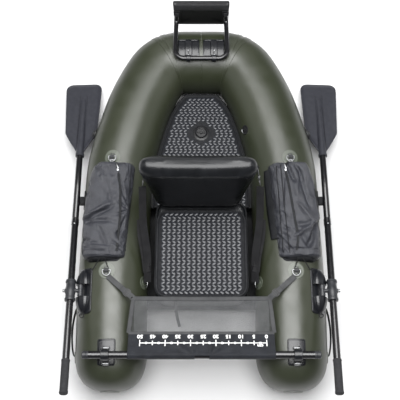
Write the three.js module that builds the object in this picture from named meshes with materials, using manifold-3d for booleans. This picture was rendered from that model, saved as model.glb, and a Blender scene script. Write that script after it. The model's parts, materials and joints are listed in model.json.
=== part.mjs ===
// A one-seat inflatable belly boat: a horseshoe hull of two air chambers, a seat with a folding back,
// a floor deck, a foot bar with a ruler apron, two stowed oars, two side bags and a motor bracket.
// Millimetres, +Z up, +Y toward the closed stern. Lengths along Y below are counted from the bow tips;
// the exported group moves them so that its origin is under the middle of the boat.
import * as THREE from "three";
import { mergeVertices } from "three/addons/utils/BufferGeometryUtils.js";
import Module from "manifold-3d";

const wasm = await Module();
wasm.setup();

// Driving dimensions
const ORIGIN_Y = 846; // from the bow tips to the origin
const GAP = 0.4; // between pieces that touch
const SKIN = 1; // coated fabric of the air chambers
const TUBE_R = 150;
const TUBE_SIDES = 20;
const NOSE_LENGTH = 170; // the bow tapers over this length
const NOSE_POWER = 2.6; // exponent of the taper's superellipse
const PONTOON_X = 382; // tube centre beside the foot bar
const STERN_Y = 1545; // tube centre at the middle of the stern

const SEAT = { halfWidth: 199, front: 370, back: 805, bottom: 45.5, top: 242, corner: 60 };
const PAD_THICK = 7.5;
const BACK = { bottom: 190, top: 244, height: 345, thick: 100, x: -6, hingeY: 758, lean: 6 };
const BACK_STRAP = { x: 240, topY: 862, topZ: 500, lowY: 442, lowZ: 206, width: 25, thick: 2 };
const MAIN_VALVE = { flangeR: 32, flange: 4, bossR: 21, boss: 12, capR: 19, cap: 6, gripHalf: 15 };
const DECK_VALVE = { flangeR: 40, flange: 8, wellR: 27, well: 6, capR: 25, cap: 7, gripHalf: 19 };
const RING_PATCH = { r: 35, thick: 2, keeperX: 11, keeperY: 6, keeperTop: 5 };
const LOCK_PAD = { halfX: 45, halfY: 94, r: 16, thick: 5, dome: [37, 68, 30], domeY: 25, turn: 45 };
const REST_SHELF = { half: 16, drop: 14, reach: 12, root: 60, patchHalf: 34 };
const DECK = { bottom: 74, top: 114, front: 815, back: 1400 };
const DECK_VALVE_Y = 1190;

const BAR = { y: 129, z: 335, r: 15.5, wall: 1.5, halfLength: 468 };
const APRON = { frontHalf: 290, rearHalf: 274, seamY: 217, rearY: 360, drop: 14, thick: 2 };

const RING_WIRE_R = 2.2;
const RING_R = 16;
const FRONT_RING = { x: 392, y: 478 };
const REAR_RING = { x: 390, y: 989 };

const LOCK = { x: 500, y: 398, z: 272, blockR: 12, stubR: 8, pinR: 4 };
const OAR = { x: 541, pitch: 12.2, yaw: 2.2, shaftR: 14.5, wall: 1.5, joint: 345, collar: 684 };
const GRIP = { r: 16, start: -430, end: -293 };
const BLADE = { neck: 711, shoulder: 820, tip: 1123, rootHalf: 76, tipHalf: 88, thick: 7 };
const REST_Y = 830;

const MOTOR = { x: 121, barY: 1475, riseY: 1668, z: 317, boardZ: 262, boardTop: 420, r: 11 };
const BAG = { inner: 276, outer: 503, front: 515, back: 950, top: 344 };

// Materials
function finish(color, roughness, metalness = 0) {
  return new THREE.MeshStandardMaterial({ color, roughness, metalness });
}
const hullFabric = finish(0x4a5142, 0.45);
const patchFabric = finish(0x7d8a78, 0.5);
const blackRubber = finish(0x1a1b1e, 0.4);
const blackPlastic = finish(0x17181b, 0.35);
const greyPlastic = finish(0x6a6c70, 0.45);
const seatSkin = finish(0x141518, 0.3);
const evaFoam = finish(0x2c3038, 0.6);
const blackNylon = finish(0x24262c, 0.8);
const meshNylon = finish(0x3b3e44, 0.8);
const greyWebbing = finish(0x5a5c60, 0.8);
const blackWebbing = finish(0x1c1d20, 0.8);
const bagNylon = finish(0x3f4149, 0.7);
const steel = finish(0xc8cacd, 0.25, 1);
const blackTube = finish(0x121316, 0.2, 0.6);
const bladePlastic = finish(0x303238, 0.5);
const gripFoam = finish(0x232427, 0.9);

// Solids
function solid(geometry, matrix = new THREE.Matrix4()) {
  const bare = geometry.clone().applyMatrix4(matrix);
  bare.deleteAttribute("normal");
  bare.deleteAttribute("uv");
  const merged = mergeVertices(bare, 1e-3);
  return new wasm.Manifold(
    new wasm.Mesh({
      numProp: 3,
      vertProperties: merged.attributes.position.array,
      triVerts: new Uint32Array(merged.index.array),
    }),
  );
}

function placed(x, y, z, turnX = 0, turnY = 0, turnZ = 0) {
  const turn = new THREE.Euler(
    THREE.MathUtils.degToRad(turnX),
    THREE.MathUtils.degToRad(turnY),
    THREE.MathUtils.degToRad(turnZ),
  );
  return new THREE.Matrix4().makeRotationFromEuler(turn).setPosition(x, y, z);
}

function moved(shape, matrix) {
  return shape.transform(matrix.elements);
}

function box(x0, x1, y0, y1, z0, z1) {
  const geometry = new THREE.BoxGeometry(x1 - x0, y1 - y0, z1 - z0);
  return solid(geometry, placed((x0 + x1) / 2, (y0 + y1) / 2, (z0 + z1) / 2));
}

// A cylinder centred on (x, y, z) and lying along one axis.
const AXIS_TURN = { X: [0, 0, 90], Y: [0, 0, 0], Z: [90, 0, 0] };
function rod(axis, r, length, x, y, z, sides = 16) {
  const geometry = new THREE.CylinderGeometry(r, r, length, sides);
  return solid(geometry, placed(x, y, z, ...AXIS_TURN[axis]));
}

function ellipsoid(rx, ry, rz, matrix) {
  const scaled = new THREE.SphereGeometry(1, 16, 8).scale(rx, ry, rz);
  return solid(scaled, matrix);
}

// An outline in X and Y raised from z0 to z1.
function plate(outline, z0, z1, curveSegments = 5) {
  const settings = { depth: z1 - z0, bevelEnabled: false, curveSegments };
  return solid(new THREE.ExtrudeGeometry(outline, settings), placed(0, 0, z0));
}

// A closed outline whose corners are rounded by the radius given with each point: [x, y, radius].
function roundedOutline(points) {
  const outline = new THREE.Shape();
  const corners = points.map(([x, y, r]) => ({ at: new THREE.Vector2(x, y), r }));
  corners.forEach(({ at, r }, i) => {
    const before = corners[(i + corners.length - 1) % corners.length].at;
    const after = corners[(i + 1) % corners.length].at;
    const enter = at.clone().add(before.clone().sub(at).setLength(r));
    const leave = at.clone().add(after.clone().sub(at).setLength(r));
    if (i === 0) outline.moveTo(enter.x, enter.y);
    else outline.lineTo(enter.x, enter.y);
    outline.quadraticCurveTo(at.x, at.y, leave.x, leave.y);
  });
  outline.closePath();
  return outline;
}

function rectangle(halfX, y0, y1, r) {
  return roundedOutline([
    [-halfX, y0, r],
    [halfX, y0, r],
    [halfX, y1, r],
    [-halfX, y1, r],
  ]);
}

// A closed skin over rings that all have the same number of points; the ends are flat.
function loft(rings) {
  const sides = rings[0].length;
  const points = rings.flat();
  const faces = [];
  for (let i = 0; i < rings.length - 1; i++) {
    for (let k = 0; k < sides; k++) {
      const a = i * sides + k;
      const b = i * sides + ((k + 1) % sides);
      faces.push(a, b + sides, b, a, a + sides, b + sides);
    }
  }
  const last = (rings.length - 1) * sides;
  for (let k = 1; k < sides - 1; k++) {
    faces.push(0, k, k + 1);
    faces.push(last, last + k + 1, last + k);
  }
  const geometry = new THREE.BufferGeometry().setFromPoints(points);
  geometry.setIndex(faces);
  return solid(geometry);
}

// The hull: the starboard chamber's centre line, from the bow to the middle of the stern
const halfLine = [
  [376, 150],
  [PONTOON_X, 450],
  [376, 750],
  [369, 1000],
  [325, 1200],
  [273, 1360],
  [199, 1480],
  [120, 1540],
  [0, STERN_Y],
];
const otherHalf = halfLine.slice(0, -1).reverse();
const hullLine = new THREE.CatmullRomCurve3([
  ...halfLine.map(([x, y]) => new THREE.Vector3(x, y, TUBE_R)),
  ...otherHalf.map(([x, y]) => new THREE.Vector3(-x, y, TUBE_R)),
]);
hullLine.arcLengthDivisions = 800;

function noseRadius(y) {
  const reach = 1 - y / NOSE_LENGTH;
  return TUBE_R * Math.pow(1 - Math.pow(reach, NOSE_POWER), 1 / NOSE_POWER);
}

// A ring across the tube at a point of the centre line, whose direction is level.
function tubeRing(centre, along, r) {
  const side = new THREE.Vector3(along.y, -along.x, 0);
  const up = new THREE.Vector3(0, 0, 1);
  const ring = [];
  for (let k = 0; k < TUBE_SIDES; k++) {
    const angle = (2 * Math.PI * k) / TUBE_SIDES;
    const out = side.clone().multiplyScalar(r * Math.cos(angle));
    ring.push(centre.clone().add(out).addScaledVector(up, r * Math.sin(angle)));
  }
  return ring;
}

// The chamber's outer skin moved outward by grow, or inward if grow is negative.
function chamberSkin(grow) {
  const forward = new THREE.Vector3(0, 1, 0);
  const startX = halfLine[0][0];
  const rings = [2, 8, 20, 42, 75, 115].map((y) => {
    const at = new THREE.Vector3(startX, y === 2 ? y - grow : y, TUBE_R);
    return tubeRing(at, forward, noseRadius(y) + grow);
  });
  const spans = 17;
  for (let i = 0; i <= spans; i++) {
    const u = (0.5 * i) / spans;
    const at = hullLine.getPointAt(u);
    const along = i === spans ? new THREE.Vector3(-1, 0, 0) : hullLine.getTangentAt(u);
    if (i === spans) at.x = GAP / 2 - grow;
    rings.push(tubeRing(at, along, TUBE_R + grow));
  }
  return loft(rings);
}

const hullEnvelope = chamberSkin(GAP);
// A shape with its mirror image, for pieces that cross the middle of the boat.
function bothSides(shape) {
  return shape.add(shape.mirror([1, 0, 0]));
}
const bothEnvelopes = bothSides(hullEnvelope);

// A sheet of the given thickness lying on the tube, cut to the shape of a cutter.
function onTube(thick, cutter) {
  return chamberSkin(GAP + thick).intersect(cutter).subtract(hullEnvelope);
}

const VALVE_U = 0.31; // where along the centre line the main valve sits
const VALVE_THROAT = 11;
const valvePoint = hullLine.getPointAt(VALVE_U);
const valveTangent = hullLine.getTangentAt(VALVE_U);
const valveTurn = THREE.MathUtils.radToDeg(Math.atan2(valveTangent.y, valveTangent.x)) - 180;
// The valve's own frame: its Y points straight out of the tube's side.
const valveFrame = placed(valvePoint.x, valvePoint.y, TUBE_R, 0, 0, valveTurn);

function onValve(shape) {
  return moved(shape, valveFrame);
}

function airChamber() {
  const hole = onValve(rod("Y", VALVE_THROAT + GAP, 60, 0, TUBE_R, 0));
  return chamberSkin(0).subtract(chamberSkin(-SKIN)).subtract(hole);
}

function mainValve() {
  const flange = onTube(MAIN_VALVE.flange, onValve(rod("Y", MAIN_VALVE.flangeR, 60, 0, TUBE_R, 0, 24)));
  const bossRod = rod("Y", MAIN_VALVE.bossR, MAIN_VALVE.boss, 0, TUBE_R + 2, 0, 24);
  const boss = onValve(bossRod).subtract(hullEnvelope);
  const throat = onValve(rod("Y", VALVE_THROAT, 20, 0, TUBE_R - 4, 0));
  return flange.add(boss).add(throat);
}

function mainValveCap() {
  const disc = rod("Y", MAIN_VALVE.capR, MAIN_VALVE.cap, 0, TUBE_R + 8 + GAP + 3, 0, 24);
  const grip = box(-MAIN_VALVE.gripHalf, MAIN_VALVE.gripHalf, TUBE_R + 14, TUBE_R + 21, -3, 3);
  return onValve(disc.add(grip));
}

// Floor, deck and seat
function floorSheet() {
  const outline = roundedOutline([
    [-280, 362, 30],
    [280, 362, 30],
    [280, 1150, 60],
    [110, 1405, 60],
    [-110, 1405, 60],
    [-280, 1150, 60],
  ]);
  return plate(outline, 41, 44).subtract(bothEnvelopes);
}

function deckOutline(back) {
  return roundedOutline([
    [-245, DECK.front, 20],
    [245, DECK.front, 20],
    [245, 1050, 60],
    [105, back, 50],
    [-105, back, 50],
    [-245, 1050, 60],
  ]);
}

const DECK_THROAT_R = 14;
function deckBlock() {
  const hole = rod("Z", DECK_THROAT_R + GAP, 90, 0, DECK_VALVE_Y, DECK.top);
  return plate(deckOutline(DECK.back), DECK.bottom, DECK.top).subtract(bothEnvelopes).subtract(hole);
}

function deckPad() {
  const border = bothSides(chamberSkin(9));
  const hole = rod("Z", DECK_VALVE.flangeR + 2 * GAP, 60, 0, DECK_VALVE_Y, DECK.top, 32);
  const low = DECK.top + GAP;
  return plate(deckOutline(DECK.back - 14), low, low + PAD_THICK - 1).subtract(border).subtract(hole);
}

function deckValve() {
  const low = DECK.top + GAP;
  const flange = rod("Z", DECK_VALVE.flangeR, DECK_VALVE.flange, 0, DECK_VALVE_Y, low + 4, 32);
  const well = rod("Z", DECK_VALVE.wellR, DECK_VALVE.well, 0, DECK_VALVE_Y, low + 6, 24);
  const throat = rod("Z", DECK_THROAT_R, 30, 0, DECK_VALVE_Y, low - 14);
  return flange.subtract(well).add(throat);
}

function deckValveCap() {
  const low = DECK.top + 3 + 2 * GAP;
  const disc = rod("Z", DECK_VALVE.capR, DECK_VALVE.cap, 0, DECK_VALVE_Y, low + 3.5, 24);
  const { gripHalf } = DECK_VALVE;
  const grip = box(-gripHalf, gripHalf, DECK_VALVE_Y - 3.5, DECK_VALVE_Y + 3.5, low + 6, low + 13);
  return disc.add(grip);
}

function seatBlock() {
  const { halfWidth, front, back, bottom, top, corner } = SEAT;
  const outer = plate(rectangle(halfWidth, front, back, corner), bottom, top);
  const inset = rectangle(halfWidth - SKIN, front + SKIN, back - SKIN, corner - SKIN);
  const air = plate(inset, bottom + SKIN, top - SKIN);
  const valveHole = rod("Y", 9, 40, 120, back, bottom + 60, 12);
  return outer.subtract(air).subtract(valveHole);
}

function seatPad() {
  const { halfWidth, front, top, corner } = SEAT;
  const back = BACK.hingeY - 3;
  const side = halfWidth - 5;
  const cut = { x: 18, y: 36 };
  const outline = roundedOutline([
    [-side, front + 5, corner - 5],
    [side, front + 5, corner - 5],
    [side, back - cut.y, 14],
    [side - cut.x, back, 8],
    [cut.x - side, back, 8],
    [-side, back - cut.y, 14],
  ]);
  return plate(outline, top + GAP, top + GAP + PAD_THICK);
}

// The seat back stands on its own Y = 0 plane, hinged along its bottom front edge.
function seatBackOutline(inset) {
  const bottom = BACK.bottom - inset;
  const top = BACK.top - inset;
  return roundedOutline([
    [-bottom, inset, 22],
    [bottom, inset, 22],
    [top, BACK.height - inset, 45],
    [-top, BACK.height - inset, 45],
  ]);
}

function seatBack() {
  const round = 14;
  const settings = {
    depth: BACK.thick - 2 * round,
    bevelThickness: round,
    bevelSize: round,
    bevelOffset: -round,
    bevelSegments: 3,
    curveSegments: 5,
  };
  const shell = (inset) => {
    const body = new THREE.ExtrudeGeometry(seatBackOutline(inset), {
      ...settings,
      depth: settings.depth - 2 * inset,
    });
    return solid(body, placed(0, BACK.thick - round - inset, 0, 90));
  };
  const airHole = rod("Y", 8, 20, 140, BACK.thick, 60, 12);
  return shell(0).subtract(shell(SKIN)).subtract(airHole);
}

function seatBackStrap() {
  const top = new THREE.Vector3(BACK_STRAP.x, BACK_STRAP.topY, BACK_STRAP.topZ);
  const low = new THREE.Vector3(BACK_STRAP.x, BACK_STRAP.lowY, BACK_STRAP.lowZ);
  const span = top.clone().sub(low);
  const middle = top.clone().add(low).multiplyScalar(0.5);
  const tilt = THREE.MathUtils.radToDeg(Math.atan2(span.z, span.y));
  const strap = new THREE.BoxGeometry(BACK_STRAP.thick, span.length(), BACK_STRAP.width);
  return solid(strap, placed(middle.x, middle.y, middle.z, tilt)).subtract(hullEnvelope);
}

// Foot bar, its mounts and the apron
function footBar() {
  const { y, z, r, wall, halfLength } = BAR;
  const plug = 24;
  const bore = rod("X", r - wall, 2 * (halfLength - plug), 0, y, z, 20);
  const drain = rod("Z", 2, 2 * wall + 4, halfLength - 2 * plug, y, z - r, 8);
  return rod("X", r, 2 * halfLength, 0, y, z, 20).subtract(bore).subtract(drain);
}

function barMount() {
  const x = 378;
  const pad = plate(
    roundedOutline([
      [x - 36, 90, 8],
      [x + 36, 90, 8],
      [x + 36, 195, 8],
      [x - 36, 195, 8],
    ]),
    200,
    330,
  );
  const post = box(x - 17, x + 17, BAR.y - 22, BAR.y + 22, 285, BAR.z);
  const collar = rod("X", BAR.r + 7, 34, x, BAR.y, BAR.z, 24);
  const bore = rod("X", BAR.r + GAP, 80, x, BAR.y, BAR.z, 20);
  return onTube(4, pad).add(post.add(collar).subtract(hullEnvelope)).subtract(bore);
}

// The apron's front part is a flat sleeve: round the bar in front, closing to the seam behind.
function sleeveSection(grow) {
  const r = BAR.r + 1 + grow;
  const section = new THREE.Shape();
  section.moveTo(APRON.seamY + grow - 3, BAR.z - APRON.drop - grow);
  section.lineTo(APRON.seamY + grow - 3, BAR.z - APRON.drop + grow);
  section.lineTo(BAR.y, BAR.z + r);
  section.absarc(BAR.y, BAR.z, r, Math.PI / 2, (3 * Math.PI) / 2, false);
  section.closePath();
  return section;
}

function alongX(section, halfLength) {
  const settings = { depth: 2 * halfLength, bevelEnabled: false, curveSegments: 8 };
  const turn = new THREE.Matrix4().makeBasis(
    new THREE.Vector3(0, 1, 0),
    new THREE.Vector3(0, 0, 1),
    new THREE.Vector3(1, 0, 0),
  );
  return solid(new THREE.ExtrudeGeometry(section, settings), turn.setPosition(-halfLength, 0, 0));
}

function apronSleeve() {
  const outer = alongX(sleeveSection(1.6), APRON.frontHalf);
  const inner = alongX(sleeveSection(0.2), APRON.frontHalf + 5);
  const notch = box(-26, 32, BAR.y - 30, BAR.y - 6, BAR.z - 30, BAR.z + 30);
  return outer.subtract(inner).subtract(notch);
}

function apronNet() {
  const { frontHalf, rearHalf, seamY, rearY, drop, thick } = APRON;
  const outline = roundedOutline([
    [-frontHalf, seamY, 2],
    [frontHalf, seamY, 2],
    [rearHalf, rearY - 16, 6],
    [rearHalf - 20, rearY, 6],
    [20 - rearHalf, rearY, 6],
    [-rearHalf, rearY - 16, 6],
  ]);
  const z = BAR.z - drop;
  return plate(outline, z - thick / 2, z + thick / 2);
}

function apronStrap() {
  const start = new THREE.Vector3(APRON.rearHalf - 2, APRON.rearY + 4, BAR.z - APRON.drop);
  const end = new THREE.Vector3(FRONT_RING.x - 8, FRONT_RING.y - 37, 311);
  const span = end.clone().sub(start);
  const middle = start.clone().add(end).multiplyScalar(0.5);
  const turn = THREE.MathUtils.radToDeg(Math.atan2(-span.x, span.y));
  const dip = THREE.MathUtils.radToDeg(Math.atan2(span.z, Math.hypot(span.x, span.y)));
  const heading = placed(middle.x, middle.y, middle.z, 0, 0, turn);
  heading.multiply(placed(0, 0, 0, dip));
  return solid(new THREE.BoxGeometry(22, span.length(), 2), heading);
}

// Lashing rings: a disc welded to the tube, a keeper and a D ring that swings in it
function ringHeight({ x, y }) {
  return y < 700 ? 308 : 307 - (x - REAR_RING.x) * 0.1;
}

function ringPatch(spot) {
  const z = ringHeight(spot);
  const disc = onTube(RING_PATCH.thick, rod("Z", RING_PATCH.r, 80, spot.x, spot.y, 280, 28));
  const { keeperX, keeperY, keeperTop } = RING_PATCH;
  const { x, y } = spot;
  const keeper = box(x - keeperX, x + keeperX, y - keeperY, y + keeperY, 285, z + keeperTop);
  const bore = rod("X", RING_WIRE_R + GAP, 40, spot.x, spot.y, z, 12);
  return disc.add(keeper.subtract(hullEnvelope)).subtract(bore);
}

function dRing(spot) {
  const z = ringHeight(spot);
  const straight = 8;
  const hoop = solid(
    new THREE.TorusGeometry(RING_R, RING_WIRE_R, 6, 16),
    placed(spot.x, spot.y - straight, z),
  );
  const frontHalf = box(
    spot.x - 40,
    spot.x + 40,
    spot.y - straight - 40,
    spot.y - straight,
    z - 5,
    z + 5,
  );
  const bar = rod("X", RING_WIRE_R, 2 * RING_R + 2 * RING_WIRE_R, spot.x, spot.y, z, 6);
  const legs = [-1, 1].map((side) =>
    rod("Y", RING_WIRE_R, straight + 0.2, spot.x + side * RING_R, spot.y - straight / 2, z, 6),
  );
  return hoop.intersect(frontHalf).add(bar).add(legs[0]).add(legs[1]);
}

function carryHandle() {
  const out = 26;
  const halfSpan = 100;
  const middleY = 245;
  const face = PONTOON_X + TUBE_R;
  const r = (halfSpan * halfSpan + out * out) / (2 * out);
  const half = Math.asin(halfSpan / r);
  const centreX = face + out - r;
  const arch = new THREE.Shape();
  arch.absarc(centreX, middleY, r, -half, half, false);
  arch.absarc(centreX, middleY, r - 3, half, -half, true);
  arch.closePath();
  return plate(arch, 145, 177, 12).subtract(hullEnvelope);
}

function sideBag() {
  const { inner, outer, front, back, top } = BAG;
  const section = roundedOutline([
    [inner, 215, 24],
    [outer, 215, 28],
    [outer, top - 24, 32],
    [outer - 76, top, 36],
    [inner + 16, top - 10, 26],
  ]);
  const depth = back - front;
  const settings = {
    depth: depth - 24,
    bevelThickness: 12,
    bevelSize: 12,
    bevelOffset: -12,
    bevelSegments: 2,
    curveSegments: 4,
  };
  const body = new THREE.ExtrudeGeometry(section, settings);
  return solid(body, placed(0, back - 12, 0, 90)).subtract(chamberSkin(1.5));
}

// Oarlocks: a moulded pad with two housings, and between them a block that turns along the tube
const lockRadial = placed(PONTOON_X, LOCK.y, TUBE_R, 0, LOCK_PAD.turn);

function oarlockPad() {
  const surface = TUBE_R;
  const base = solid(
    new THREE.ExtrudeGeometry(rectangle(LOCK_PAD.halfX, -LOCK_PAD.halfY, LOCK_PAD.halfY, LOCK_PAD.r), {
      depth: 80,
      bevelEnabled: false,
      curveSegments: 4,
    }),
    lockRadial.clone().multiply(placed(0, 0, surface - 50)),
  );
  const housings = [-1, 1].map((end) => {
    const centre = lockRadial.clone().multiply(placed(0, end * LOCK_PAD.domeY, surface));
    const whole = ellipsoid(...LOCK_PAD.dome, centre);
    const keep = solid(
      new THREE.BoxGeometry(100, 80, 100),
      lockRadial.clone().multiply(placed(0, end * (LOCK_PAD.domeY + 40), surface)),
    );
    return whole.intersect(keep).subtract(hullEnvelope);
  });
  const bore = rod("Y", 5 + GAP, 80, LOCK.x, LOCK.y, LOCK.z);
  return onTube(5, base).add(housings[0]).add(housings[1]).subtract(bore);
}

function lockBlock() {
  const barrel = rod("Y", LOCK.blockR, 48, LOCK.x, LOCK.y, LOCK.z, 20);
  const trunnion = rod("Y", 5, 76, LOCK.x, LOCK.y, LOCK.z);
  const stubEnd = OAR.x - 20 - 2 * GAP;
  const stub = rod("X", LOCK.stubR, stubEnd - LOCK.x, (stubEnd + LOCK.x) / 2, LOCK.y, LOCK.z);
  const socket = rod("X", LOCK.pinR + GAP, 40, stubEnd, LOCK.y, LOCK.z, 12);
  return barrel.add(trunnion).add(stub).subtract(socket);
}

function lockPin() {
  const start = OAR.x - 20 - 20 + GAP;
  const end = OAR.x + 28;
  const shank = rod("X", LOCK.pinR, end - start, (start + end) / 2, LOCK.y, LOCK.z, 12);
  const knob = rod("X", 7, 6, end + 2, LOCK.y, LOCK.z, 12);
  return shank.add(knob);
}

// Oars, in their own frame: origin on the oarlock pin, +Y along the shaft toward the blade
const oarFrame = placed(OAR.x, LOCK.y, LOCK.z, 0, 0, -OAR.yaw);
oarFrame.multiply(placed(0, 0, 0, -OAR.pitch));
const pinBore = moved(
  rod("X", LOCK.pinR + 2 * GAP, 60, OAR.x, LOCK.y, LOCK.z, 12),
  oarFrame.clone().invert(),
);
const BUTTON_Y = OAR.joint - 30;
const BUTTON_R = 4;

function oarSleeve() {
  const bore = rod("Y", OAR.shaftR + GAP, 200, 0, 0, 0, 16);
  return rod("Y", 20, 92, 0, 0, 0, 24).subtract(bore).subtract(pinBore);
}

function hollowShaft(r, start, end) {
  const middle = (start + end) / 2;
  const inner = rod("Y", r - OAR.wall, end - start + 2, 0, middle, 0);
  return rod("Y", r, end - start, 0, middle, 0).subtract(inner);
}

function frontShaft() {
  const hole = rod("Z", BUTTON_R + GAP, 12, 0, BUTTON_Y, OAR.shaftR, 12);
  const shaft = hollowShaft(OAR.shaftR, GRIP.start + 8, OAR.joint);
  return shaft.subtract(pinBore).subtract(hole);
}

function rearShaft() {
  const spigotR = OAR.shaftR - OAR.wall - GAP;
  const start = OAR.joint + GAP;
  const end = BLADE.neck + 50;
  const sleeve = rod("Y", OAR.shaftR, end - start, 0, (start + end) / 2, 0);
  const spigot = rod("Y", spigotR, 80, 0, start - 20, 0);
  const bore = rod("Y", spigotR - OAR.wall, 2 * end, 0, end, 0, 12);
  const hole = rod("Z", BUTTON_R + GAP, 8, 0, BUTTON_Y, spigotR, 12);
  return sleeve.add(spigot).subtract(bore).subtract(hole);
}

function snapButton() {
  return rod("Z", BUTTON_R, 7, 0, BUTTON_Y, OAR.shaftR - 1.5, 12);
}

function oarGrip() {
  const length = GRIP.end - GRIP.start;
  const bore = rod("Y", OAR.shaftR + GAP, length, 0, GRIP.end - length / 2 + 8 - GAP, 0);
  return rod("Y", GRIP.r, length, 0, GRIP.start + length / 2, 0, 20).subtract(bore);
}

function oarBlade() {
  const { neck, shoulder, tip, rootHalf, tipHalf, thick } = BLADE;
  const outline = roundedOutline([
    [-17, neck - 20, 1],
    [17, neck - 20, 1],
    [17, neck, 4],
    [rootHalf, shoulder, 16],
    [tipHalf, tip, 34],
    [-tipHalf, tip, 34],
    [-rootHalf, shoulder, 16],
    [-17, neck, 4],
  ]);
  const face = plate(outline, -thick / 2, thick / 2);
  const socket = rod("Y", 18, neck + 80 - OAR.collar, 0, (neck + 80 + OAR.collar) / 2, 0, 20);
  const spine = ellipsoid(16, 300, 15, placed(0, neck + 60, 0));
  const bladeOnly = box(-40, 40, neck, tip, -40, 40);
  const bore = rod("Y", OAR.shaftR + GAP, 120, 0, neck + 50 + GAP - 60, 0);
  return face.add(socket).add(spine.intersect(bladeOnly)).subtract(bore);
}

// The oar's cradle on the hull's side: a shelf with a shallow groove, open at the top and outside
function oarRest() {
  const along = (REST_Y - LOCK.y) / Math.cos(THREE.MathUtils.degToRad(OAR.pitch));
  const axisPoint = new THREE.Vector3(0, along, 0).applyMatrix4(oarFrame);
  const { x, z } = axisPoint;
  const { half, drop, reach, root, patchHalf } = REST_SHELF;
  const lip = z - drop;
  const section = new THREE.Shape();
  section.moveTo(x - root, z - 34);
  section.lineTo(x + 4, z - 26);
  section.lineTo(x + reach, z - 19);
  section.lineTo(x + reach, lip);
  section.lineTo(x, lip);
  section.lineTo(x - 15, z + 2);
  section.lineTo(x - root, z + 2);
  section.closePath();
  const settings = { depth: 2 * half, bevelEnabled: false };
  const bracket = solid(
    new THREE.ExtrudeGeometry(section, settings),
    placed(0, REST_Y + half, 0, 90),
  );
  const channel = moved(rod("Y", OAR.shaftR + 1, 200, 0, along, 0, 24), oarFrame);
  const patch = onTube(3, box(420, 560, REST_Y - patchHalf, REST_Y + patchHalf, z - 45, z + 30));
  const arm = bracket.subtract(hullEnvelope);
  return patch.add(arm).subtract(channel);
}

// Motor bracket: two pads on the stern, a bent tube frame and a board
function motorPad() {
  const x0 = 8;
  const x1 = 108;
  const outline = roundedOutline([
    [x0, 1497, 6],
    [x1, 1497, 6],
    [x1, 1590, 6],
    [x0, 1590, 6],
  ]);
  const pad = onTube(4, plate(outline, 200, 330));
  const ridge = onTube(9, box(42, 76, 1492, 1590, 200, 330));
  const arm = box(50, 68, MOTOR.barY - 2, 1520, 280, MOTOR.z + 6);
  const collar = rod("X", MOTOR.r + 5, 18, 59, MOTOR.barY, MOTOR.z, 20);
  const bore = rod("X", MOTOR.r + GAP, 60, 59, MOTOR.barY, MOTOR.z, 16);
  return pad.add(ridge).add(arm.add(collar).subtract(hullEnvelope)).subtract(bore);
}

// A path of straight runs whose corners are rounded.
function bentPath(points, r) {
  const path = new THREE.CurvePath();
  let from = points[0];
  for (let i = 1; i < points.length - 1; i++) {
    const enter = points[i].clone().add(points[i - 1].clone().sub(points[i]).setLength(r));
    const leave = points[i].clone().add(points[i + 1].clone().sub(points[i]).setLength(r));
    path.add(new THREE.LineCurve3(from, enter));
    path.add(new THREE.QuadraticBezierCurve3(enter, points[i], leave));
    from = leave;
  }
  path.add(new THREE.LineCurve3(from, points[points.length - 1]));
  return path;
}

function motorFrame() {
  const { x, barY, riseY, z, boardZ, boardTop, r } = MOTOR;
  const upright = riseY + 14;
  const corners = [
    [x - 6, upright, boardTop - 60],
    [x - 4, upright, z],
    [x, barY, z],
    [-x, barY, z],
    [4 - x, upright, z],
    [6 - x, upright, boardTop - 60],
  ];
  const path = bentPath(
    corners.map(([px, py, pz]) => new THREE.Vector3(px, py, pz)),
    42,
  );
  const section = new THREE.Shape().absarc(0, 0, r, 0, 2 * Math.PI);
  const tube = new THREE.ExtrudeGeometry(section, {
    steps: 44,
    extrudePath: path,
    curveSegments: 4,
  });
  const plates = [-1, 1].map((side) => {
    const px = side * (x - 8);
    return box(px - 16, px + 16, upright + r - 2, upright + r + 2, boardZ + 14, boardTop - 50);
  });
  return solid(tube).add(plates[0]).add(plates[1]);
}

function motorBoard() {
  const { riseY, boardZ, boardTop, r } = MOTOR;
  const front = riseY + 14 + r + 2 + GAP;
  const section = new THREE.Shape();
  section.moveTo(-126, boardZ);
  section.lineTo(126, boardZ);
  section.lineTo(131, boardTop);
  section.lineTo(-131, boardTop);
  section.closePath();
  const settings = { depth: 22, bevelEnabled: false };
  return solid(new THREE.ExtrudeGeometry(section, settings), placed(0, front + 22, 0, 90));
}

// Assembly
function geometryOf(shape) {
  const { numProp, vertProperties, triVerts, numVert } = shape.getMesh();
  const positions = new Float32Array(numVert * 3);
  for (let i = 0; i < numVert; i++) {
    positions.set(vertProperties.subarray(i * numProp, i * numProp + 3), i * 3);
  }
  const geometry = new THREE.BufferGeometry();
  geometry.setAttribute("position", new THREE.BufferAttribute(positions, 3));
  geometry.setIndex(new THREE.BufferAttribute(triVerts, 1));
  geometry.computeVertexNormals();
  return geometry;
}

function piece(name, shape, material) {
  const mesh = new THREE.Mesh(geometryOf(shape), material);
  mesh.name = name;
  return mesh;
}

const boat = new THREE.Group();
boat.position.y = -ORIGIN_Y;

const seatBackGroup = new THREE.Group();
seatBackGroup.position.set(BACK.x, BACK.hingeY, SEAT.top + PAD_THICK + 2.6);
seatBackGroup.rotation.x = THREE.MathUtils.degToRad(-BACK.lean);
seatBackGroup.add(piece("backrest", seatBack(), seatSkin));

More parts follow.
